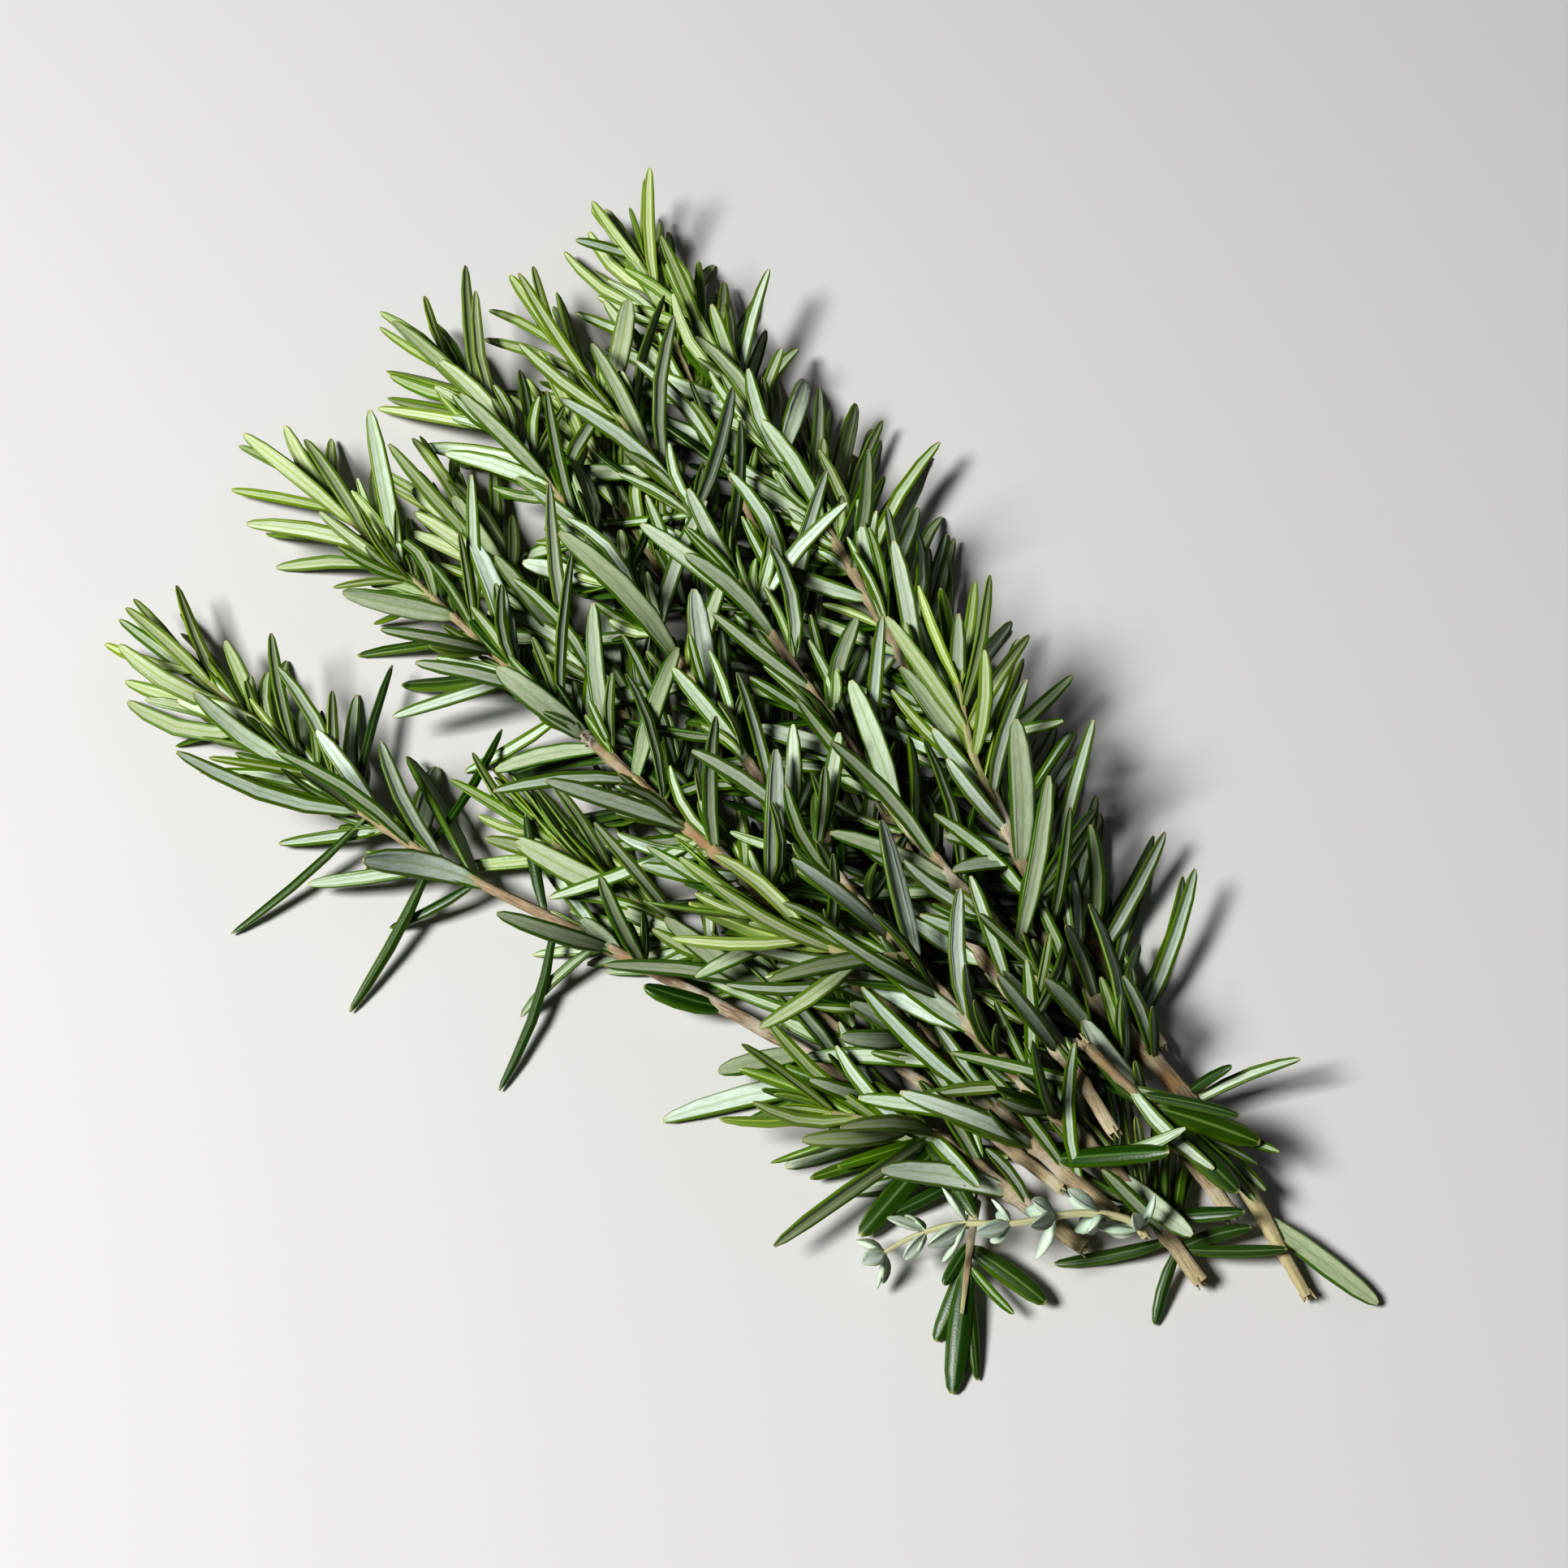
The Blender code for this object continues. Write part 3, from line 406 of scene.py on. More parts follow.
def splayed(radial, heading, height):
    """A direction off the stem, turned sideways where the surface is too near for a leaf to go down."""
    lowest = -min(1.0, max(LEVEL_ENOUGH, (height - FREE_HEIGHT) / STEEP_HEIGHT))
    if radial[2] >= lowest:
        return radial
    level = unit(np.cross(heading, (0, 0, 1)))
    if np.dot(level, radial) < 0:
        level = -level
    return unit(level * math.sqrt(1 - lowest * lowest) + np.array([0, 0, lowest]))


def off_stem(stem, growth):
    """Where a leaf comes off: the stem's middle and heading, the way out to the leaf, and the radius."""
    point, heading, level, radius = stem.at(growth.distance)
    up = np.cross(level, heading)
    radial = splayed(level * math.cos(growth.turn) + up * math.sin(growth.turn), heading, point[2])
    return point, heading, unit(radial - heading * np.dot(radial, heading)), radius


def level_side(out, side):
    """The level direction across a leaf that it may twist to from its side."""
    flat = unit(np.cross((0, 0, 1), out))
    return -flat if np.dot(flat, side) < MOST_ROUND else flat


def grow_leaf(stem, growth):
    """A leaf on the stem, with its upper face towards the growing tip, and twisted some way to lie level."""
    point, heading, radial, radius = off_stem(stem, growth)
    angle = math.radians(growth.angle)
    out = heading * math.cos(angle) + radial * math.sin(angle)
    side = np.cross(radial, heading)
    side = unit(side * (1 - growth.level) + level_side(out, side) * growth.level)
    bow = heading * LIFT * math.sin(angle) + radial * growth.curl + side * growth.sway
    bow += np.array([0, 0, -growth.droop])
    root = point + radial * radius * ROOT_OUT
    return Leaf(root, out, side, bow, growth.length, growth.half_width, growth.age)


def leaf_pairs(stem, design, is_shoot):
    """The main leaves of a stem, from its tip down."""
    chance = random.Random(design.seed + (SHOOT_SEED if is_shoot else 0))
    bare = SIDE_SHOOT_BARE if is_shoot else design.bare
    sparse_from, sparse_to = design.sparse
    turn = math.pi / 4 - stem.roll
    from_tip = TIP_PAIR
    while stem.length - from_tip > bare:
        distance = stem.length - from_tip
        old = min(1.0, from_tip / OLD_STRETCH)
        grown = math.sin(min(1.0, from_tip / YOUNG_STRETCH) * math.pi / 2)
        keep = 1.0
        if distance < bare + LOWER_STRETCH and not is_shoot:
            keep = LOWER_KEEP
        if sparse_from < distance < sparse_to:
            keep = SPARSE_KEEP
        angle = between(SPREAD_ANGLE, old ** SPREAD_POWER)
        angle_spread = between(ANGLE_SPREAD, old)
        for half in range(2):
            broad = 1 + (BROAD_FACTOR - 1) * grown * (chance.random() < BROAD_SHARE)
            growth = Growth(
                distance=distance,
                turn=turn + half * math.pi + chance.gauss(0, TURN_SPREAD),
                angle=angle + chance.gauss(0, angle_spread),
                length=between((YOUNG_LENGTH, LEAF_LENGTH * chance.uniform(*LENGTH_RANGE)), grown),
                half_width=broad * between(
                    (YOUNG_HALF_WIDTH, LEAF_HALF_WIDTH * chance.uniform(*WIDTH_RANGE)), grown,
                ),
                age=old,
                level=chance.uniform(*LEVELLED),
                curl=chance.gauss(CURL, CURL_SPREAD) * grown,
                sway=chance.gauss(0, SWAY_SPREAD) * grown,
                droop=chance.uniform(0, DROOP) * grown,
            )
            if chance.random() < keep:
                yield growth
        turn += math.pi / 2
        from_tip += between(PAIR_SPACING, old)


def clear_leaf(owner, stem, growth):
    """The leaf as it would grow, or bent just enough to miss the other sprigs, or none."""
    for turn, lift, shorter in TRIES:
        leaf = grow_leaf(stem, growth._replace(
            turn=growth.turn + math.radians(turn),
            angle=max(LEAST_ANGLE, growth.angle + lift),
            length=growth.length * shorter,
        ))
        if occupied.is_clear(owner, leaf):
            return leaf
    return None


def chosen_leaf(owner, stem, distance, tip, half_width, face_up, sway):
    """A leaf from its place on the stem to its tip, with the tip moved up or down clear of other sprigs."""
    root = stem.at(distance)[0]
    for lift in TIP_LIFTS:
        reach = np.array(tip, float) + (0, 0, lift) - root
        length = np.linalg.norm(reach)
        side = unit(np.cross((0, 0, 1), reach)) * face_up
        heading = unit(reach - side * sway * length)
        leaf = Leaf(root, heading, side, side * sway, length, half_width, 1.0)
        if occupied.is_clear(owner, leaf):
            return leaf
    return None


# The thyme is a wiry stem with a cluster of small oval leaves at each joint and at its tip.
THYME = {
    "route": ((-116, 14, 14), (-112, 15, 16), (-106, 21, 17), (-100, 31, 17), (-93, 38, 14), (-89, 44, 10),
              (-87, 50, 7)),
    "radius": 0.85, "first": 1.5, "spacing": 8.0, "cluster": 4, "length": (4.4, 8.0),
    "half_width": (1.3, 2.0), "angle": (35, 75), "age": 0.5, "seed": 21,
}


def keep(leaf, kept, owner):
    """Take the leaf into the list, where there is one, with the space that it takes up."""
    if leaf is not None:
        kept.append(leaf)
        occupied.add_leaf(owner, leaf)


def thyme_leaves(stem, owner):
    """Clusters of small oval leaves at the joints and the tip of the thyme's wiry stem."""
    chance = random.Random(THYME["seed"])
    kept = []
    last_joint = stem.length - THYME["spacing"] / 2
    for distance in (stem.length - TIP_PAIR, *np.arange(THYME["first"], last_joint, THYME["spacing"])):
        turn = chance.uniform(0, math.pi)
        for i in range(THYME["cluster"]):
            keep(clear_leaf(owner, stem, Growth(
                distance=distance,
                turn=turn + math.tau * i / THYME["cluster"] + chance.gauss(0, TURN_SPREAD),
                angle=chance.uniform(*THYME["angle"]),
                length=chance.uniform(*THYME["length"]),
                half_width=chance.uniform(*THYME["half_width"]),
                age=THYME["age"],
            )), kept, owner)
    return kept


sprig_names = list(SPRIGS)
stems = {}
for owner, name in enumerate(sprig_names):
    design = SPRIGS[name]
    roll = random.Random(design.seed).uniform(0, math.pi / 2)
    if name == LOWEST:
        roll = math.pi / 4
    stems[name] = [Stem(design.route, design.radius, roll, design.heel)]
    stems[name] += [Stem(route, SIDE_SHOOT_RADIUS, roll) for route in design.shoots]
    for stem in stems[name]:
        occupied.add_stem(owner, stem)
thyme_stem = Stem(THYME["route"], THYME["radius"], 0.0)
occupied.add_stem(len(sprig_names), thyme_stem)
leaves = {name: [] for name in sprig_names}
for name, chosen in CHOSEN_LEAVES.items():
    owner = sprig_names.index(name)
    for shape in chosen:
        keep(chosen_leaf(owner, stems[name][0], *shape), leaves[name], owner)
chosen_counts = {name: len(leaves[name]) for name in sprig_names}
thyme_blades = thyme_leaves(thyme_stem, len(sprig_names))
pairs = {}
for owner, name in enumerate(sprig_names):
    for number, stem in enumerate(stems[name]):
        pairs[stem] = list(leaf_pairs(stem, SPRIGS[name], number > 0))
        for growth in pairs[stem]:
            keep(clear_leaf(owner, stem, growth), leaves[name], owner)
grown_counts = {name: len(leaves[name]) for name in sprig_names}


# The small leaves. In the angle of most grown leaves sits a very short side shoot, a little brush of bright
# young leaves. The growing tip itself ends in a tight tuft of its youngest ones.
SMALL_LEAF_SEED = 500
BRUSH_SHARE = 0.8
BRUSH_FROM_TIP = 15.0
BRUSH_LEAVES = (3, 4, 5, 6)
BRUSH_LEAN = 0.62
BRUSH_LEAN_SPREAD = 6.0
BRUSH_TURN_SPREAD = 0.3
BRUSH_SPREAD = (7.0, 30.0)
BRUSH_ROOT_OUT = 0.7
BRUSH_STEM = (0.0, 2.2)
BRUSH_LIFT = 0.08
BRUSH_BEND = 0.05
BRUSH_LENGTH = (0.32, 0.72)
SMALL_AGE = (0.0, 0.5)
BRUSH_HALF_WIDTH = (0.7, 1.1)
BRUSH_AGEING = 0.3
TUFT_LEAVES = 3
TUFT_STEP = 0.3
TUFT_TURN = 2.4
TUFT_TURN_SPREAD = 0.2
TUFT_ANGLE = 6.0
TUFT_OPENING = 2.2
TUFT_ANGLE_SPREAD = 2.0
TUFT_LENGTH = (9.0, 16.0)
TUFT_HALF_WIDTH = (0.65, 0.9)
# The leaves that stand out lie uppermost, seen from above the near side: no small leaf grows over one.
SEEN_FROM = unit(np.array([-0.36, 0.30, 0.88]))
SHOWN_STATIONS = np.linspace(0.12, 1.0, 11)
COVER_STATIONS = (0.2, 0.4, 0.6, 0.8, 1.0)

shown_points = []
shown_half_widths = []
for name in sprig_names:
    for leaf in leaves[name][:chosen_counts[name]]:
        shown_points += [leaf.station(t)[0] for t in SHOWN_STATIONS]
        shown_half_widths += [leaf.half_width] * len(SHOWN_STATIONS)
shown_points = np.array(shown_points)
shown_half_widths = np.array(shown_half_widths)


def covers(leaf):
    """Whether the leaf grows over one that stands out."""
    for t in COVER_STATIONS:
        offset = leaf.station(t)[0] - shown_points
        above = offset @ SEEN_FROM
        apart = np.linalg.norm(offset - above[:, None] * SEEN_FROM, axis=1)
        if np.any((above > 0) & (apart < leaf.half_width + shown_half_widths)):
            return True
    return False


def brush_leaves(stem, growth, chance):
    """The leaves of one very short shoot in the axil of a main leaf, which itself grew as given."""
    point, heading, radial, radius = off_stem(stem, growth)
    lean = math.radians(max(LEAST_ANGLE, growth.angle * BRUSH_LEAN + chance.gauss(0, BRUSH_LEAN_SPREAD)))
    axis = heading * math.cos(lean) + radial * math.sin(lean)
    across = np.cross(radial, heading)
    over = np.cross(axis, across)
    count = chance.choice(BRUSH_LEAVES)
    for i in range(count):
        turn = i * math.pi / 2 + (i // 4) * math.pi / 4 + chance.gauss(0, BRUSH_TURN_SPREAD)
        out = across * math.cos(turn) + over * math.sin(turn)
        spread = math.radians(chance.uniform(*BRUSH_SPREAD))
        side = np.cross(out, axis)
        side = unit(side + level_side(axis, side))
        root = point + radial * radius * BRUSH_ROOT_OUT + axis * chance.uniform(*BRUSH_STEM)
        bow = axis * BRUSH_LIFT * math.sin(spread) + out * chance.gauss(0.0, BRUSH_BEND)
        yield Leaf(
            root,
            axis * math.cos(spread) + out * math.sin(spread),
            side,
            bow + side * chance.gauss(0, BRUSH_BEND),
            growth.length * chance.uniform(*BRUSH_LENGTH),
            chance.uniform(*BRUSH_HALF_WIDTH),
            chance.uniform(*SMALL_AGE) + BRUSH_AGEING * growth.age,
        )


def tuft_leaves(stem, chance):
    """The youngest leaves, which still stand together round the bud."""
    for i in range(TUFT_LEAVES):
        yield grow_leaf(stem, Growth(
            distance=stem.length - TUFT_STEP - TUFT_STEP * i,
            turn=i * TUFT_TURN + chance.gauss(0, TUFT_TURN_SPREAD),
            angle=TUFT_ANGLE + TUFT_OPENING * i + chance.gauss(0, TUFT_ANGLE_SPREAD),
            length=chance.uniform(*TUFT_LENGTH),
            half_width=chance.uniform(*TUFT_HALF_WIDTH),
            age=chance.uniform(*SMALL_AGE),
        ))


for owner, name in enumerate(sprig_names):
    chance = random.Random(SPRIGS[name].seed + SMALL_LEAF_SEED)
    for stem in stems[name]:
        small = list(tuft_leaves(stem, chance))
        for growth in pairs[stem]:
            if stem.length - growth.distance > BRUSH_FROM_TIP and chance.random() < BRUSH_SHARE:
                small += brush_leaves(stem, growth, chance)
        for leaf in small:
            if occupied.is_clear(owner, leaf) and not covers(leaf):
                keep(leaf, leaves[name], owner)


# Low in the bunch the sprigs are leafier: more grown leaves stand between the main pairs.
LOW_SPRIGS = (
    "sprig_under_left", "sprig_under_middle", "sprig_under_centre", "sprig_under_right",
    "sprig_far", "sprig_middle",
)
LOW_LEAF_BELOW = 13.0
LOW_LEAF_OFFSET = 2.6

for name in LOW_SPRIGS:
    owner = sprig_names.index(name)
    for stem in stems[name]:
        for growth in pairs[stem]:
            leaf = clear_leaf(owner, stem, growth._replace(
                distance=max(0.0, growth.distance - LOW_LEAF_OFFSET), turn=growth.turn + math.pi / 2,
            ))
            if leaf is not None and leaf.station(1.0)[0][2] < LOW_LEAF_BELOW:
                keep(leaf, leaves[name], owner)


# No two leaves are bent alike. Each is bowed in its middle as far as there is room: the ones that stand out
# the way that they already bend, the others at random, aside and over. Where there is room a leaf is also
# broader. A small or low leaf that would still lie almost in another one of its sprig didn't grow there.
BOW_SEED = 700
BOW_SPREAD = 0.04
BEND_SHARE = 0.3
BROADER = 1.22
BOW_TRIES = ((1, BROADER), (-1, BROADER), (1, 1.0), (-1, 1.0), (0, BROADER), (0, 1.0))
CHOSEN_TRIES = ((1, 1.0), (0, 1.0))
PATCH_MIDDLE = 0.6
OUTER_STATIONS = np.linspace(0.4, 1.0, 9)
OUTER_EDGES = (-0.7, 0.0, 0.7)
WITHIN_BLADE = 0.5


class BowedLeaf(Leaf):
    """A leaf whose middle is bowed aside and over by shares of its length, between its own root and tip."""

    def __init__(self, leaf, aside, over, broader):
        self.__dict__.update(leaf.__dict__)
        self.aside = aside
        self.over = over
        self.half_width = leaf.half_width * broader

    def station(self, t):
        point, side, face = super().station(t)
        bowed = point + (side * self.aside + face * self.over) * self.length * math.sin(math.pi * t)
        return bowed, side, face


def blade_patches(leaf):
    """The outer part of a blade as patches: middle, three directions, half length and half width."""
    half_length = leaf.length * (OUTER_STATIONS[1] - OUTER_STATIONS[0]) / 2
    patches = []
    for t in OUTER_STATIONS:
        point, side, face = leaf.station(t)
        patches.append((*point, *np.cross(face, side), *side, *face, half_length, leaf.half_width))
    return np.array(patches)


def lies_in(leaf, patches):
    """Whether the outer part of the leaf lies almost in one of the patches of other blades."""
    middle = leaf.station(PATCH_MIDDLE)[0]
    near = patches[np.abs(patches[:, 0:3] - middle).max(axis=1) < leaf.length]
    for t in OUTER_STATIONS:
        point, side, _ = leaf.station(t)
        for edge in OUTER_EDGES:
            offset = point + side * edge * leaf.half_width - near[:, 0:3]
            along = np.abs(np.sum(offset * near[:, 3:6], axis=1))
            aside = np.abs(np.sum(offset * near[:, 6:9], axis=1))
            over = np.abs(np.sum(offset * near[:, 9:12], axis=1))
            if np.any((along < near[:, 12]) & (aside < near[:, 13]) & (over < WITHIN_BLADE)):
                return True
    return False


for owner, name in enumerate(sprig_names):
    chance = random.Random(SPRIGS[name].seed + BOW_SEED)
    patches = np.zeros((0, 14))
    kept = []
    for number, leaf in enumerate(leaves[name]):
        aside, over = chance.gauss(0, BOW_SPREAD), chance.gauss(0, BOW_SPREAD)
        tries = BOW_TRIES
        if number < chosen_counts[name]:
            aside, over = -BEND_SHARE * np.dot(leaf.bow, leaf.side), 0.0
            tries = CHOSEN_TRIES
        clear = [BowedLeaf(leaf, way * aside, way * over, broader) for way, broader in tries]
        clear = [bowed for bowed in clear if occupied.is_clear(owner, bowed)]
        best = next((bowed for bowed in clear if not lies_in(bowed, patches)), None)
        if best is None and number < grown_counts[name]:
            best = clear[0] if clear else leaf
        if best is not None:
            keep(best, kept, owner)
            patches = np.concatenate([patches, blade_patches(best)])
    leaves[name] = kept


# A short cut piece comes off an old sprig: its leaves are all grown, and its stem is woody.
CUT_PIECE = 40.0
CUT_PIECE_AGE = 0.75
WOODY_FROM = 130.0
WOODY_SHARE = 0.8

for name in sprig_names:
    if stems[name][0].length < CUT_PIECE:
        for leaf in leaves[name]:
            leaf.age = max(leaf.age, CUT_PIECE_AGE)


# The blades as meshes. The rolled section is swept along every midrib at once. Its points run round the leaf
# from one edge over the dark upper face to the other, and back under through the felted hollow, and carry how
# far they are across the blade and whether they are below. The midribs carry age, tone and the way along.
LEAF_SECTION = (
    (1.0, -0.14, 0), (0.62, 0.32, 0), (0.0, 0.22, 0), (-0.62, 0.32, 0), (-1.0, -0.14, 0),
    (-0.82, -0.44, 1), (-0.5, -0.1, 1), (0.0, -0.34, 1), (0.5, -0.1, 1), (0.82, -0.44, 1),
)
BLADE_OUTLINE = ((0.0, 0.34), (0.1, 0.68), (0.32, 0.96), (0.58, 1.0), (0.82, 0.85), (0.95, 0.55), (1.0, 0.2))
BREADTH_RANGE = (0.9, 2.1)
BLADE_TWIST = 0.25
ROLL_OUT = 1.05
TONE_SEED = 900


def socket(owner, name):
    return next(s for s in owner.interface.items_tree if s.name == name and s.in_out == "INPUT").identifier


def wire(tree, kind, sockets=None, **settings):
    """A node with its settings and sockets: a socket takes a value, or another node's output."""
    node = tree.nodes.new(kind)
    for key, value in settings.items():
        setattr(node, key, value)
    for key, value in (sockets or {}).items():
        if isinstance(value, bpy.types.NodeSocket):
            tree.links.new(value, node.inputs[key])
        else:
            node.inputs[key].default_value = value
    return node


def out_of(tree, kind, sockets=None, **settings):
    """The first output of such a node."""
    return wire(tree, kind, sockets, **settings).outputs[0]


def worked(tree, operation, first, second=0.0):
    return out_of(tree, "ShaderNodeMath", {0: first, 1: second}, operation=operation)


def noise(tree, vector, scale, detail=3.0, roughness=0.55):
    return out_of(tree, "ShaderNodeTexNoise", {
        "Vector": vector, "Scale": scale, "Detail": detail, "Roughness": roughness,
    })


def named(tree, name, data_type="FLOAT"):
    """What a geometry node reads from an attribute."""
    return out_of(tree, "GeometryNodeInputNamedAttribute", {"Name": name}, data_type=data_type)


def line_mesh(name, keys, lines, closed=False):
    """A mesh of loose edges along lines of rows. A row is a point and its values, which the keys name."""
    rows, edges = [], []
    for line in lines:
        edges += [(i, i + 1) for i in range(len(rows), len(rows) + len(line) - 1)]
        rows += line
    if closed:
        edges.append((len(rows) - 1, 0))
    points, *columns = zip(*rows)
    mesh = bpy.data.meshes.new(name)
    mesh.from_pydata([tuple(p) for p in points], edges, [])
    for key, column in zip(keys, columns):
        column = np.array(column, float)
        if column.ndim == 2:
            mesh.attributes.new(key, "FLOAT_VECTOR", "POINT").data.foreach_set("vector", column.ravel())
        else:
            mesh.attributes.new(key, "FLOAT", "POINT").data.foreach_set("value", column)
    return mesh


def placed(name, data):
    thing = bpy.data.objects.new(name, data)
    bpy.context.scene.collection.objects.link(thing)
    return thing


def grown(name, guide, tree, inputs):
    """The tree's result on the guide mesh, as a plain mesh of its own."""
    thing = placed(name, guide)
    modifier = thing.modifiers.new("grow", "NODES")
    modifier.node_group = tree
    for key, value in inputs.items():
        modifier[socket(tree, key)] = value
    bpy.context.view_layer.update()
    mesh = bpy.data.meshes.new_from_object(thing.evaluated_get(bpy.context.evaluated_depsgraph_get()))
    thing.modifiers.remove(modifier)
    bpy.data.objects.remove(thing)
    return placed(name, mesh)


def new_tree(name, inputs):
    """A tree that makes one mesh, and the outputs that give its named inputs."""
    tree = bpy.data.node_groups.new(name, "GeometryNodeTree")
    for key, kind in inputs.items():
        tree.interface.new_socket(key, in_out="INPUT", socket_type="NodeSocket" + kind)
    tree.interface.new_socket("Mesh", in_out="OUTPUT", socket_type="NodeSocketGeometry")
    return tree, tree.nodes.new("NodeGroupInput").outputs


def swept(tree, lines, section, across):
    """The section swept along the lines, turned and scaled as their points say."""
    facing = out_of(tree, "GeometryNodeSetCurveNormal", {
        "Curve": out_of(tree, "GeometryNodeMeshToCurve", {"Mesh": lines}),
        "Normal": named(tree, across, "FLOAT_VECTOR"),
    }, mode="FREE")
    outline = wire(tree, "GeometryNodeObjectInfo", {"Object": section}).outputs["Geometry"]
    return out_of(tree, "GeometryNodeCurveToMesh", {
        "Curve": facing, "Profile Curve": out_of(tree, "GeometryNodeMeshToCurve", {"Mesh": outline}),
        "Scale": named(tree, "half_width"), "Fill Caps": True,
    })


def lying(tree, mesh):
    """The mesh with no point of it below the surface."""
    place = wire(tree, "ShaderNodeSeparateXYZ", {"Vector": out_of(tree, "GeometryNodeInputPosition")}).outputs
    resting = out_of(tree, "ShaderNodeCombineXYZ", {
        "X": place["X"], "Y": place["Y"], "Z": worked(tree, "MAXIMUM", place["Z"]),
    })
    return out_of(tree, "GeometryNodeSetPosition", {"Geometry": mesh, "Position": resting})


def blade_tree():
    tree, given = new_tree("leaf blades", {"Midribs": "Geometry", "Section": "Object", "Finish": "Material"})
    blades = lying(tree, swept(tree, given["Midribs"], given["Section"], "across_blade"))
    smooth = out_of(tree, "GeometryNodeSetShadeSmooth", {"Geometry": blades})
    real = out_of(tree, "GeometryNodeRealizeInstances", {"Geometry": smooth})
    finished = out_of(tree, "GeometryNodeSetMaterial", {"Geometry": real, "Material": given["Finish"]})
    wire(tree, "NodeGroupOutput", {"Mesh": finished})
    return tree


def midribs(name, blades, outline, seed):
    """The midribs of many leaves, each a row of points with a random tone and a slight twist."""
    chance = random.Random(seed)
    lines = []
    for leaf in blades:
        tone = chance.random()
        twist = chance.gauss(0, BLADE_TWIST)
        breadth = (leaf.half_width - BREADTH_RANGE[0]) / (BREADTH_RANGE[1] - BREADTH_RANGE[0])
        breadth = min(1.0, max(0.0, breadth))
        line = []
        for t, width in outline:
            point, side, face = leaf.station(t)
            side = side * math.cos(twist * t) + face * math.sin(twist * t)
            half_width = width * leaf.half_width * ROLL_OUT * MM
            line.append((point * MM, -side, half_width, t, leaf.age, tone, breadth))
        lines.append(line)
    return line_mesh(name, ("across_blade", "half_width", "along", "age", "tone", "breadth"), lines)


# The leaf's finish. The upper face is dark, leathery and slightly shiny, with a thin sunk line down the
# middle. Below, white felt lies between green rolled edges and a raised midrib. Young leaves are brighter.
def colour_mix(tree, factor, low, high):
    """A colour between two, either of which may be another node's output."""
    node = wire(tree, "ShaderNodeMix", {"Factor": factor}, data_type="RGBA")
    for key, value in (("A", low), ("B", high)):
        target = next(s for s in node.inputs if s.name == key and s.type == "RGBA")
        if isinstance(value, bpy.types.NodeSocket):
            tree.links.new(value, target)
        else:
            target.default_value = (*value, 1.0)
    return next(s for s in node.outputs if s.type == "RGBA")


def over(tree, colour, other, share, strength):
    """The colour with another one over it, by a share taken at some strength."""
    return colour_mix(tree, worked(tree, "MULTIPLY", share, strength), colour, other)


def step_between(tree, value, low, high, start=0.0, end=1.0):
    """From start to end as the value goes from low to high, smoothly."""
    return out_of(tree, "ShaderNodeMapRange", {
        "Value": value, "From Min": low, "From Max": high, "To Min": start, "To Max": end,
    }, interpolation_type="SMOOTHSTEP")


def ramp(tree, value, low, high):
    """From low to high as the value goes from 0 to 1."""
    return out_of(tree, "ShaderNodeMapRange", {"Value": value, "To Min": low, "To Max": high})


def attribute(tree, name, output="Fac"):
    return wire(tree, "ShaderNodeAttribute", attribute_name=name).outputs[output]


def new_finish(name):
    """A new material, with its tree and its surface shader."""
    material = bpy.data.materials.new(name)
    material.use_nodes = True
    return material, material.node_tree, material.node_tree.nodes["Principled BSDF"]


def bumped(tree, surface, height, strength, distance):
    bump = out_of(tree, "ShaderNodeBump", {"Height": height, "Strength": strength, "Distance": distance})
    tree.links.new(bump, surface.inputs["Normal"])


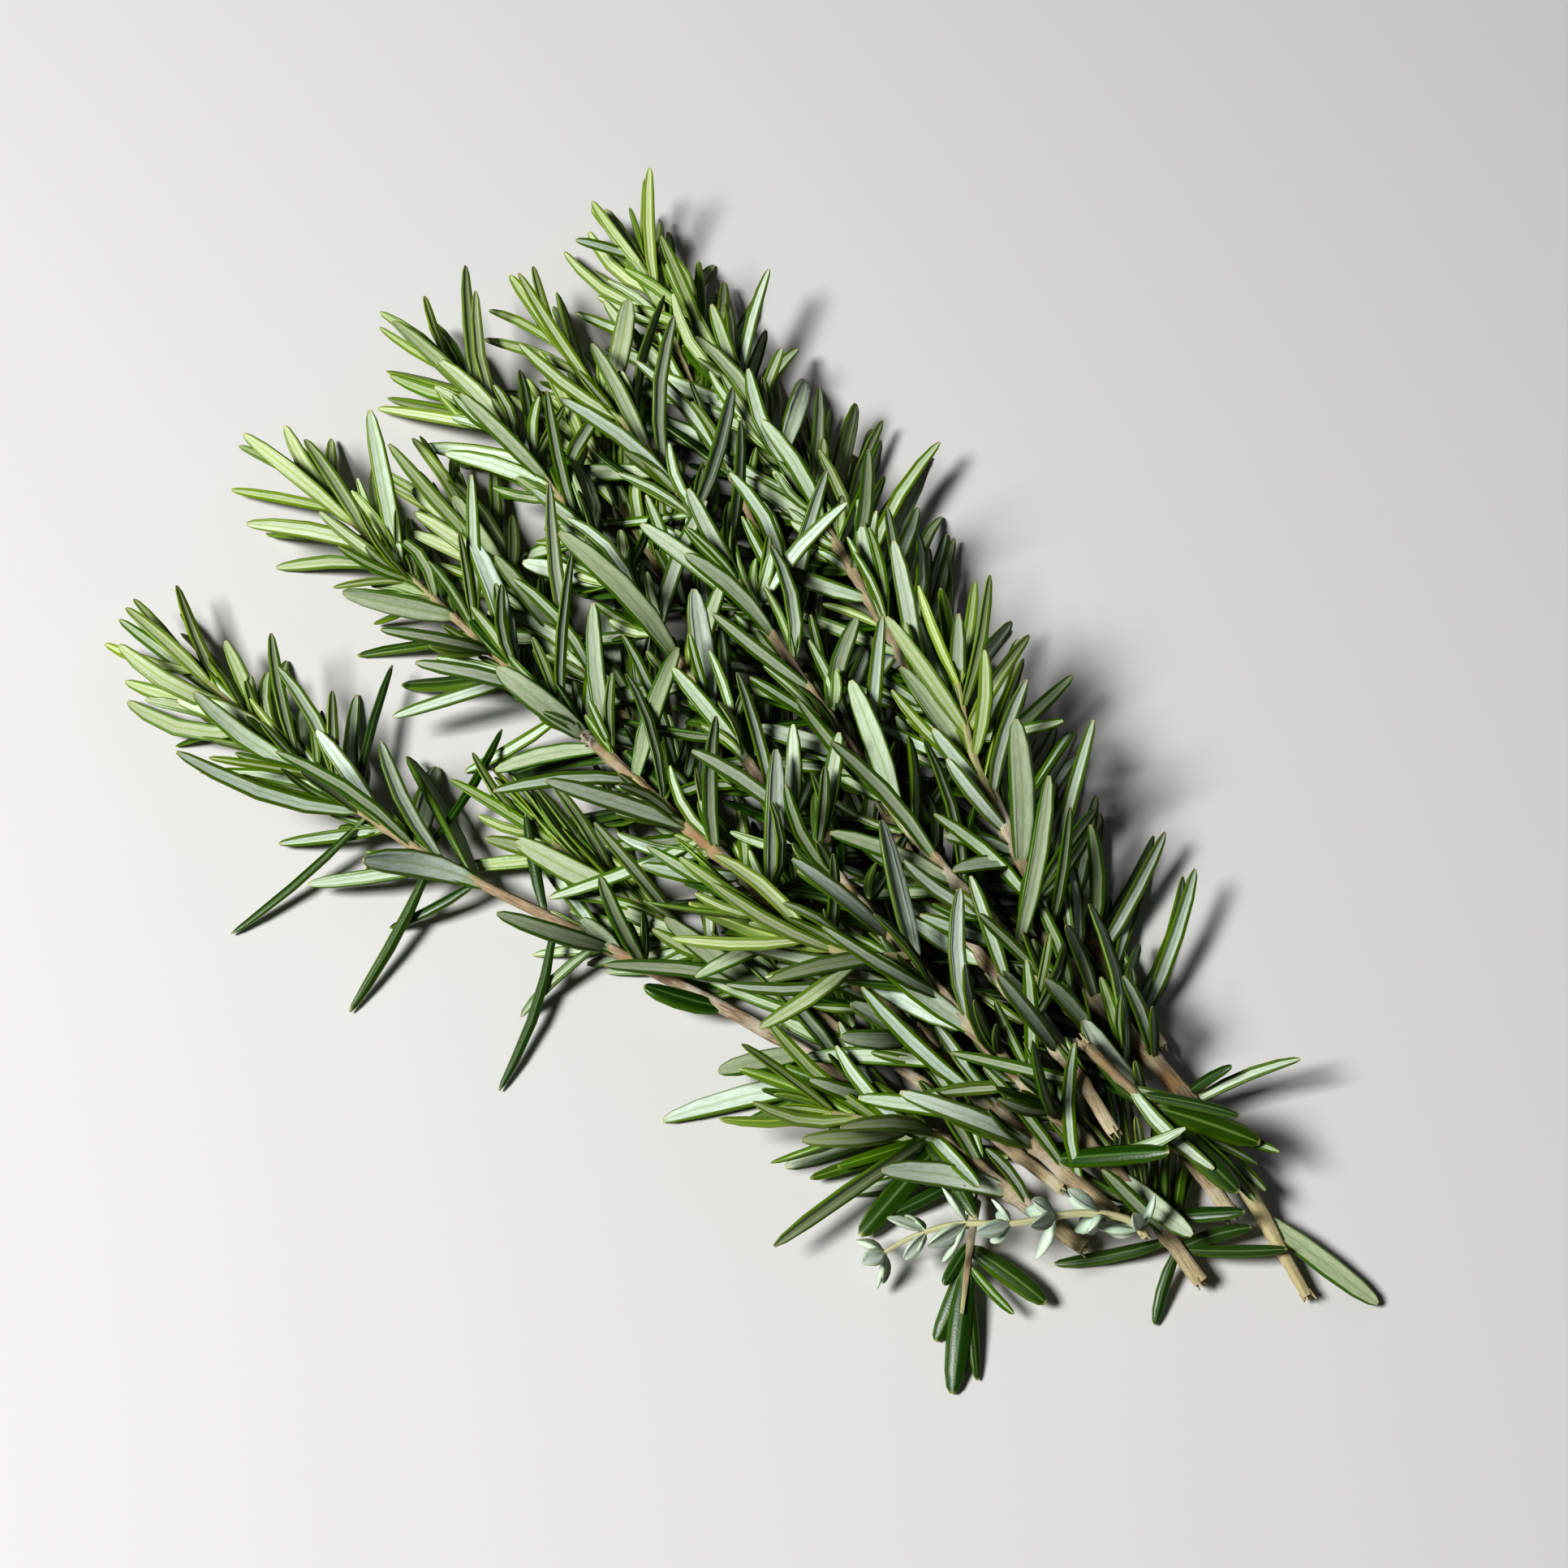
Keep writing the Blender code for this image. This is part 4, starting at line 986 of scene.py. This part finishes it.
def leaf_finish(name, colours):
    """A leaf's finish from its colours, each for a young and a grown leaf, and the felt's second colour."""
    material, tree, surface = new_finish(name)
    place = wire(tree, "ShaderNodeTexCoord").outputs["Object"]
    across = worked(tree, "ABSOLUTE", attribute(tree, "across"))
    below = step_between(tree, attribute(tree, "below"), 0.3, 0.7)
    age, tone, along = attribute(tree, "age"), attribute(tree, "tone"), attribute(tree, "along")
    other_tone = worked(tree, "FRACT", worked(tree, "MULTIPLY", tone, 7.3))
    clouds = noise(tree, place, 170.0, 3.0)
    on_blade = out_of(tree, "ShaderNodeCombineXYZ", {
        "X": worked(tree, "MULTIPLY", attribute(tree, "across"), 5.0),
        "Y": worked(tree, "MULTIPLY", along, 9.0),
        "Z": worked(tree, "MULTIPLY", tone, 60.0),
    })
    streaks = step_between(tree, noise(tree, on_blade, 1.6, 4.0, 0.6), 0.35, 0.65)
    old = step_between(tree, worked(tree, "ADD", age, worked(tree, "MULTIPLY", tone, 0.3)), 0.1, 0.9)
    top, edge, felt, rib = (colour_mix(tree, old, *colours[key]) for key in ("top", "edge", "felt", "rib"))
    felt = over(tree, felt, colours["cream"], other_tone, 0.9)
    felt = over(tree, felt, colour_mix(tree, 0.45, felt, edge), clouds, 0.45)
    felt = over(tree, felt, colour_mix(tree, 0.5, felt, edge), streaks, 0.45)
    rim = ramp(tree, attribute(tree, "breadth"), 0.2, 0.7)
    hollow = step_between(tree, across, rim, worked(tree, "ADD", rim, 0.14), 1.0, 0.0)
    hollow = worked(tree, "MULTIPLY", hollow, below)
    midrib = worked(tree, "SUBTRACT", 1.0, step_between(tree, across, 0.04, 0.17))
    rolled = step_between(tree, across, 0.55, 1.0)
    colour = colour_mix(tree, worked(tree, "MAXIMUM", rolled, below), top, edge)
    colour = colour_mix(tree, hollow, colour, felt)
    colour = over(tree, colour, rib, midrib, ramp(tree, old, 0.75, 0.4))
    colour = over(tree, colour, rib, worked(tree, "SUBTRACT", 1.0, step_between(tree, along, 0.0, 0.14)), 0.7)
    colour = over(tree, colour, (0.42, 0.40, 0.18), step_between(tree, along, 0.965, 1.0), 0.6)
    shade = out_of(tree, "ShaderNodeHueSaturation", {
        "Hue": ramp(tree, other_tone, 0.485, 0.512),
        "Saturation": ramp(tree, tone, 0.95, 1.2),
        "Value": ramp(tree, other_tone, 1.12, 0.8),
        "Color": colour,
    })
    tree.links.new(shade, surface.inputs["Base Color"])
    tree.links.new(ramp(tree, hollow, 0.36, 0.92), surface.inputs["Roughness"])
    surface.inputs["Specular IOR Level"].default_value = 0.45
    bumped(tree, surface, noise(tree, place, 2400.0, 2.0), 0.4, 0.00008)
    return material


rosemary_leaf = leaf_finish("rosemary leaf", {
    "top": ((0.115, 0.20, 0.025), (0.028, 0.068, 0.009)),
    "edge": ((0.20, 0.29, 0.05), (0.095, 0.17, 0.022)),
    "felt": ((0.56, 0.65, 0.44), (0.64, 0.73, 0.68)),
    "cream": (0.57, 0.61, 0.42),
    "rib": ((0.36, 0.46, 0.10), (0.26, 0.36, 0.16)),
})
blades_tree = blade_tree()
leaf_corners = [((x, y, 0), x, below) for x, y, below in LEAF_SECTION]
leaf_section = placed("leaf section", line_mesh(
    "leaf section", ("across", "below"), [leaf_corners], closed=True,
))
for name in sprig_names:
    guide = midribs(name + "_midribs", leaves[name], BLADE_OUTLINE, SPRIGS[name].seed + TONE_SEED)
    piece = grown(name + "_leaves", guide, blades_tree, {"Section": leaf_section, "Finish": rosemary_leaf})
    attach(piece, "root")
    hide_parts(name)


# The bark. A rosemary stem is square when young, and greenish with down. With age it browns and greys, and
# its bark splits into long ridges. It swells a little at each leaf pair. A cut end shows pale wood with a few
# torn splinters, and the bark peels just above it. One sprig has a dry, scabby stretch half way.
BARK_SIDES = 16
BARK_STEP = 0.9
BARK_FIT = 0.82
SQUARENESS = 0.12
SWELLING = 0.2
SWELLING_REACH = 1.2
RIDGE_HEIGHT = 0.0009
RIDGES_AROUND = 2.4
RIDGES_ALONG = 0.12
PEELED_AT_CUT = 0.6
PEELED_LENGTH = 12.0
SPLINTERS = 5
SPLINTER_PLACE = (0.3, 0.8)
SPLINTER_LEAN = (-0.1, 0.25)
SPLINTER_LENGTH = (0.3, 1.4)
SPLINTER_RADIUS = (0.3, 0.55)
SPLINTER_TIP = 0.2
SCAB_ON = "sprig_left"
SCAB_AT = 140.0
SCAB_REACH = 6.0
SCAB_SWELLING = 0.35


def bark_tree():
    tree, given = new_tree("bark", {
        "Pith Line": "Geometry", "Section": "Object", "Ridge Height": "Float", "Ridges Around": "Float",
        "Finish": "Material", "Cut Wood": "Material",
    })
    stem = swept(tree, given["Pith Line"], given["Section"], "across_stem")
    around = out_of(tree, "ShaderNodeVectorMath", {
        0: named(tree, "around", "FLOAT_VECTOR"), "Scale": given["Ridges Around"],
    }, operation="SCALE")
    down = out_of(tree, "ShaderNodeCombineXYZ", {"Z": named(tree, "distance")})
    where = out_of(tree, "ShaderNodeVectorMath", {0: around, 1: down}, operation="ADD")
    height = worked(tree, "SUBTRACT", noise(tree, where, 1.0, 3.0, 0.6), 0.5)
    tall = worked(tree, "MULTIPLY", height, given["Ridge Height"])
    aged = worked(tree, "MULTIPLY", tall, worked(tree, "ADD", named(tree, "age"), named(tree, "scab")))
    offset = out_of(tree, "ShaderNodeVectorMath", {
        0: out_of(tree, "GeometryNodeInputNormal"), "Scale": aged,
    }, operation="SCALE")
    rough = out_of(tree, "GeometryNodeSetPosition", {"Geometry": stem, "Offset": offset})
    corners = out_of(tree, "GeometryNodeInputMeshFaceNeighbors")
    is_cut = out_of(
        tree, "FunctionNodeCompare", {2: corners, 3: 4}, data_type="INT", operation="GREATER_THAN",
    )
    is_bark = out_of(tree, "FunctionNodeBooleanMath", {0: is_cut}, operation="NOT")
    smooth = out_of(tree, "GeometryNodeSetShadeSmooth", {
        "Geometry": lying(tree, rough), "Selection": is_bark,
    })
    real = out_of(tree, "GeometryNodeRealizeInstances", {"Geometry": smooth})
    bark = out_of(tree, "GeometryNodeSetMaterial", {"Geometry": real, "Material": given["Finish"]})
    finished = out_of(tree, "GeometryNodeSetMaterial", {
        "Geometry": bark, "Selection": is_cut, "Material": given["Cut Wood"],
    })
    wire(tree, "NodeGroupOutput", {"Mesh": finished})
    return tree


def splinters(stem, chance):
    """Splinters that stand out of a cut end: the root and the end of each, and how thick it is."""
    point, heading, level, radius = stem.at(0.0)
    up = np.cross(level, heading)
    for i in range(SPLINTERS):
        turn = math.tau * (i + chance.random()) / SPLINTERS
        out = level * math.cos(turn) + up * math.sin(turn)
        root = point + out * radius * chance.uniform(*SPLINTER_PLACE) + heading
        lean = unit(-heading + out * chance.uniform(*SPLINTER_LEAN))
        end = root + lean * (1 + chance.uniform(*SPLINTER_LENGTH))
        yield root, end, level, chance.uniform(*SPLINTER_RADIUS)


def pith_lines(name, sprig_stems, heel, woody_from):
    """The middle lines of a sprig's stems, thicker at each leaf pair and woody from so far below the tip."""
    lines = []
    for root, end, level, radius in splinters(sprig_stems[0], random.Random(name)):
        lines.append([
            (root * MM, level, radius * MM, 0.0, 1.0, 0.0, 0.8, 0.0),
            (end * MM, level, SPLINTER_TIP * radius * MM, 0.4, 1.0, 0.0, 1.0, 0.0),
        ])
    for number, stem in enumerate(sprig_stems):
        joints = np.array([growth.distance for growth in pairs.get(stem, [])] or [0.0])
        count = max(4, round(stem.length / BARK_STEP))
        line = []
        for i in range(count + 1):
            distance = stem.length * i / count
            point, heading, level, radius = stem.at(distance)
            up = np.cross(level, heading)
            near = np.exp(-((joints - distance) / SWELLING_REACH) ** 2).max()
            scab = math.exp(-((distance - SCAB_AT) / SCAB_REACH) ** 4) if name.startswith(SCAB_ON) else 0.0
            peeled = 0.0
            if number == 0:
                peeled = 1.0 if distance < heel else max(0.0, PEELED_AT_CUT * (1 - distance / PEELED_LENGTH))
            line.append((
                point * MM,
                level * math.cos(stem.roll) - up * math.sin(stem.roll),
                radius * (BARK_FIT + SWELLING * near + SCAB_SWELLING * scab) * MM,
                distance * RIDGES_ALONG,
                min(1.0, (stem.length - distance) / woody_from),
                near,
                peeled,
                scab,
            ))
        lines.append(line)
    return line_mesh(name, ("across_stem", "half_width", "distance", "age", "joint", "peeled", "scab"), lines)


def bark_finish(name, young_shade, young_light):
    """A bark's finish from its two colours where it is young."""
    material, tree, surface = new_finish(name)
    place = wire(tree, "ShaderNodeTexCoord").outputs["Object"]
    age = attribute(tree, "age")
    around = out_of(tree, "ShaderNodeVectorMath", {
        0: attribute(tree, "around", "Vector"), "Scale": 3.2,
    }, operation="SCALE")
    down = out_of(tree, "ShaderNodeCombineXYZ", {"Z": attribute(tree, "distance")})
    where = out_of(tree, "ShaderNodeVectorMath", {0: around, 1: down}, operation="ADD")
    streaks = step_between(tree, noise(tree, where, 2.6, 5.0, 0.65), 0.3, 0.7)
    patches = noise(tree, place, 110.0, 4.0)
    young = colour_mix(tree, streaks, young_shade, young_light)
    middle = colour_mix(tree, streaks, (0.28, 0.19, 0.11), (0.58, 0.48, 0.32))
    old = colour_mix(tree, streaks, (0.15, 0.095, 0.06), (0.54, 0.44, 0.31))
    greyed = colour_mix(tree, step_between(tree, patches, 0.46, 0.62), old, (0.56, 0.51, 0.41))
    rusty = step_between(tree, noise(tree, place, 60.0, 5.0, 0.6), 0.57, 0.63)
    greyed = over(tree, greyed, (0.40, 0.24, 0.11), rusty, 0.7)
    colour = colour_mix(tree, step_between(tree, age, 0.08, 0.4), young, middle)
    colour = colour_mix(tree, step_between(tree, age, 0.5, 1.0), colour, greyed)
    colour = over(tree, colour, (0.50, 0.44, 0.25), attribute(tree, "joint"), 0.45)
    colour = over(tree, colour, (0.66, 0.59, 0.33), attribute(tree, "peeled"), 0.75)
    flakes = step_between(tree, noise(tree, place, 700.0, 5.0, 0.75), 0.4, 0.6)
    dry = colour_mix(tree, flakes, (0.11, 0.085, 0.06), (0.50, 0.45, 0.36))
    colour = colour_mix(tree, step_between(tree, attribute(tree, "scab"), 0.2, 0.6), colour, dry)
    tree.links.new(colour, surface.inputs["Base Color"])
    surface.inputs["Roughness"].default_value = 0.78
    surface.inputs["Specular IOR Level"].default_value = 0.3
    bumped(tree, surface, streaks, 0.6, 0.0003)
    return material


def cut_wood_finish():
    material, tree, surface = new_finish("fresh cut wood")
    grain = noise(tree, wire(tree, "ShaderNodeTexCoord").outputs["Object"], 900.0, 4.0)
    colour = colour_mix(tree, grain, (0.52, 0.44, 0.26), (0.70, 0.64, 0.42))
    tree.links.new(colour, surface.inputs["Base Color"])
    surface.inputs["Roughness"].default_value = 0.7
    return material


bark_section = [
    (math.cos(a) * (1 + SQUARENESS * math.cos(4 * a)), math.sin(a) * (1 + SQUARENESS * math.cos(4 * a)), 0)
    for a in (math.tau * k / BARK_SIDES for k in range(BARK_SIDES))
]
bark_outline = placed("bark section", line_mesh(
    "bark section", ("around",), [[(corner, corner) for corner in bark_section]], closed=True,
))
rosemary_bark = bark_finish("rosemary bark", (0.42, 0.44, 0.18), (0.62, 0.58, 0.33))
thyme_bark = bark_finish("thyme bark", (0.56, 0.56, 0.30), (0.72, 0.69, 0.45))
cut_wood = cut_wood_finish()
barks_tree = bark_tree()
for name in sprig_names:
    woody_from = min(WOODY_FROM, WOODY_SHARE * stems[name][0].length)
    guide = pith_lines(name + "_pith", stems[name], SPRIGS[name].heel, woody_from)
    piece = grown(name + "_bark", guide, barks_tree, {
        "Section": bark_outline, "Ridge Height": RIDGE_HEIGHT, "Ridges Around": RIDGES_AROUND,
        "Finish": rosemary_bark, "Cut Wood": cut_wood,
    })
    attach(piece, "root")
    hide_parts(name)


# The thyme. It has a wiry stem and small oval leaves, grey-green with down, in clusters at its joints.
THYME_OUTLINE = ((0.0, 0.16), (0.12, 0.34), (0.3, 0.82), (0.5, 1.0), (0.72, 0.88), (0.92, 0.46), (1.0, 0.14))
THYME_WOODY_FROM = 1500.0
THYME_RIDGE_HEIGHT = 0.0002

thyme_leaf = leaf_finish("thyme leaf", {
    "top": ((0.50, 0.60, 0.52),) * 2,
    "edge": ((0.55, 0.64, 0.50),) * 2,
    "felt": ((0.76, 0.84, 0.84),) * 2,
    "cream": (0.68, 0.76, 0.66),
    "rib": ((0.60, 0.66, 0.38),) * 2,
})
guide = midribs("thyme_midribs", thyme_blades, THYME_OUTLINE, THYME["seed"])
piece = grown("thyme_sprig_leaves", guide, blades_tree, {"Section": leaf_section, "Finish": thyme_leaf})
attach(piece, "root")
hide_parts("thyme_sprig")
piece = grown("thyme_sprig_stem", pith_lines("thyme_pith", [thyme_stem], 0, THYME_WOODY_FROM), barks_tree, {
    "Section": bark_outline, "Ridge Height": THYME_RIDGE_HEIGHT, "Ridges Around": RIDGES_AROUND,
    "Finish": thyme_bark, "Cut Wood": cut_wood,
})
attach(piece, "root")
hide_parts("thyme_sprig")
bpy.data.objects.remove(leaf_section)
bpy.data.objects.remove(bark_outline)


# The surface under the bunch, the light and the camera. A soft light stands at the camera's left, towards
# the front, with a weak fill opposite, and the camera looks down on the bunch across its length.
CAMERA_ELEVATION = math.radians(62)
CAMERA_DISTANCE = 0.52
CAMERA_TURN = math.radians(130)
LENS = 60.0
FLOOR_HALF = 1.5
FLOOR_DROP = 0.00005
FLOOR_CORNERS = ((-1, -1), (1, -1), (1, 1), (-1, 1))

floor_mesh = bpy.data.meshes.new("floor")
floor_mesh.from_pydata(
    [(x * FLOOR_HALF, y * FLOOR_HALF, -FLOOR_DROP) for x, y in FLOOR_CORNERS], [], [(0, 1, 2, 3)],
)
floor_material, _, floor_surface = new_finish("pale floor")
floor_surface.inputs["Base Color"].default_value = (0.60, 0.595, 0.58, 1.0)
floor_surface.inputs["Roughness"].default_value = 0.9
floor_mesh.materials.append(floor_material)
placed("floor", floor_mesh)


def in_view_frame(right, away, up):
    """A place given to the right of, away from and above the bunch as the camera sees it."""
    cos, sin = math.cos(CAMERA_TURN), math.sin(CAMERA_TURN)
    return (right * cos + away * sin, -right * sin + away * cos, up)


def aim(thing):
    thing.rotation_euler = (-Vector(thing.location)).to_track_quat("-Z", "Y").to_euler()


def soft_light(name, place, size, power):
    light = bpy.data.lights.new(name, "AREA")
    light.size = size
    light.energy = power
    thing = placed(name, light)
    thing.location = place
    aim(thing)


soft_light("key", in_view_frame(-0.93, -0.33, 1.28), 0.45, 28.5)
soft_light("fill", in_view_frame(0.5, 0.6, 0.7), 0.9, 0.5)
world = bpy.data.worlds.new("studio")
world.use_nodes = True
background = world.node_tree.nodes["Background"]
background.inputs["Color"].default_value = (0.92, 0.96, 1.0, 1.0)
background.inputs["Strength"].default_value = 0.035
bpy.context.scene.world = world
bpy.context.scene.view_settings.view_transform = "Standard"
bpy.context.scene.view_settings.look = "High Contrast"

camera = placed("camera", bpy.data.cameras.new("camera"))
camera.location = in_view_frame(
    0.0, -CAMERA_DISTANCE * math.cos(CAMERA_ELEVATION), CAMERA_DISTANCE * math.sin(CAMERA_ELEVATION),
)
camera.data.lens = LENS
camera.data.sensor_width = 36.0
aim(camera)
bpy.context.scene.camera = camera
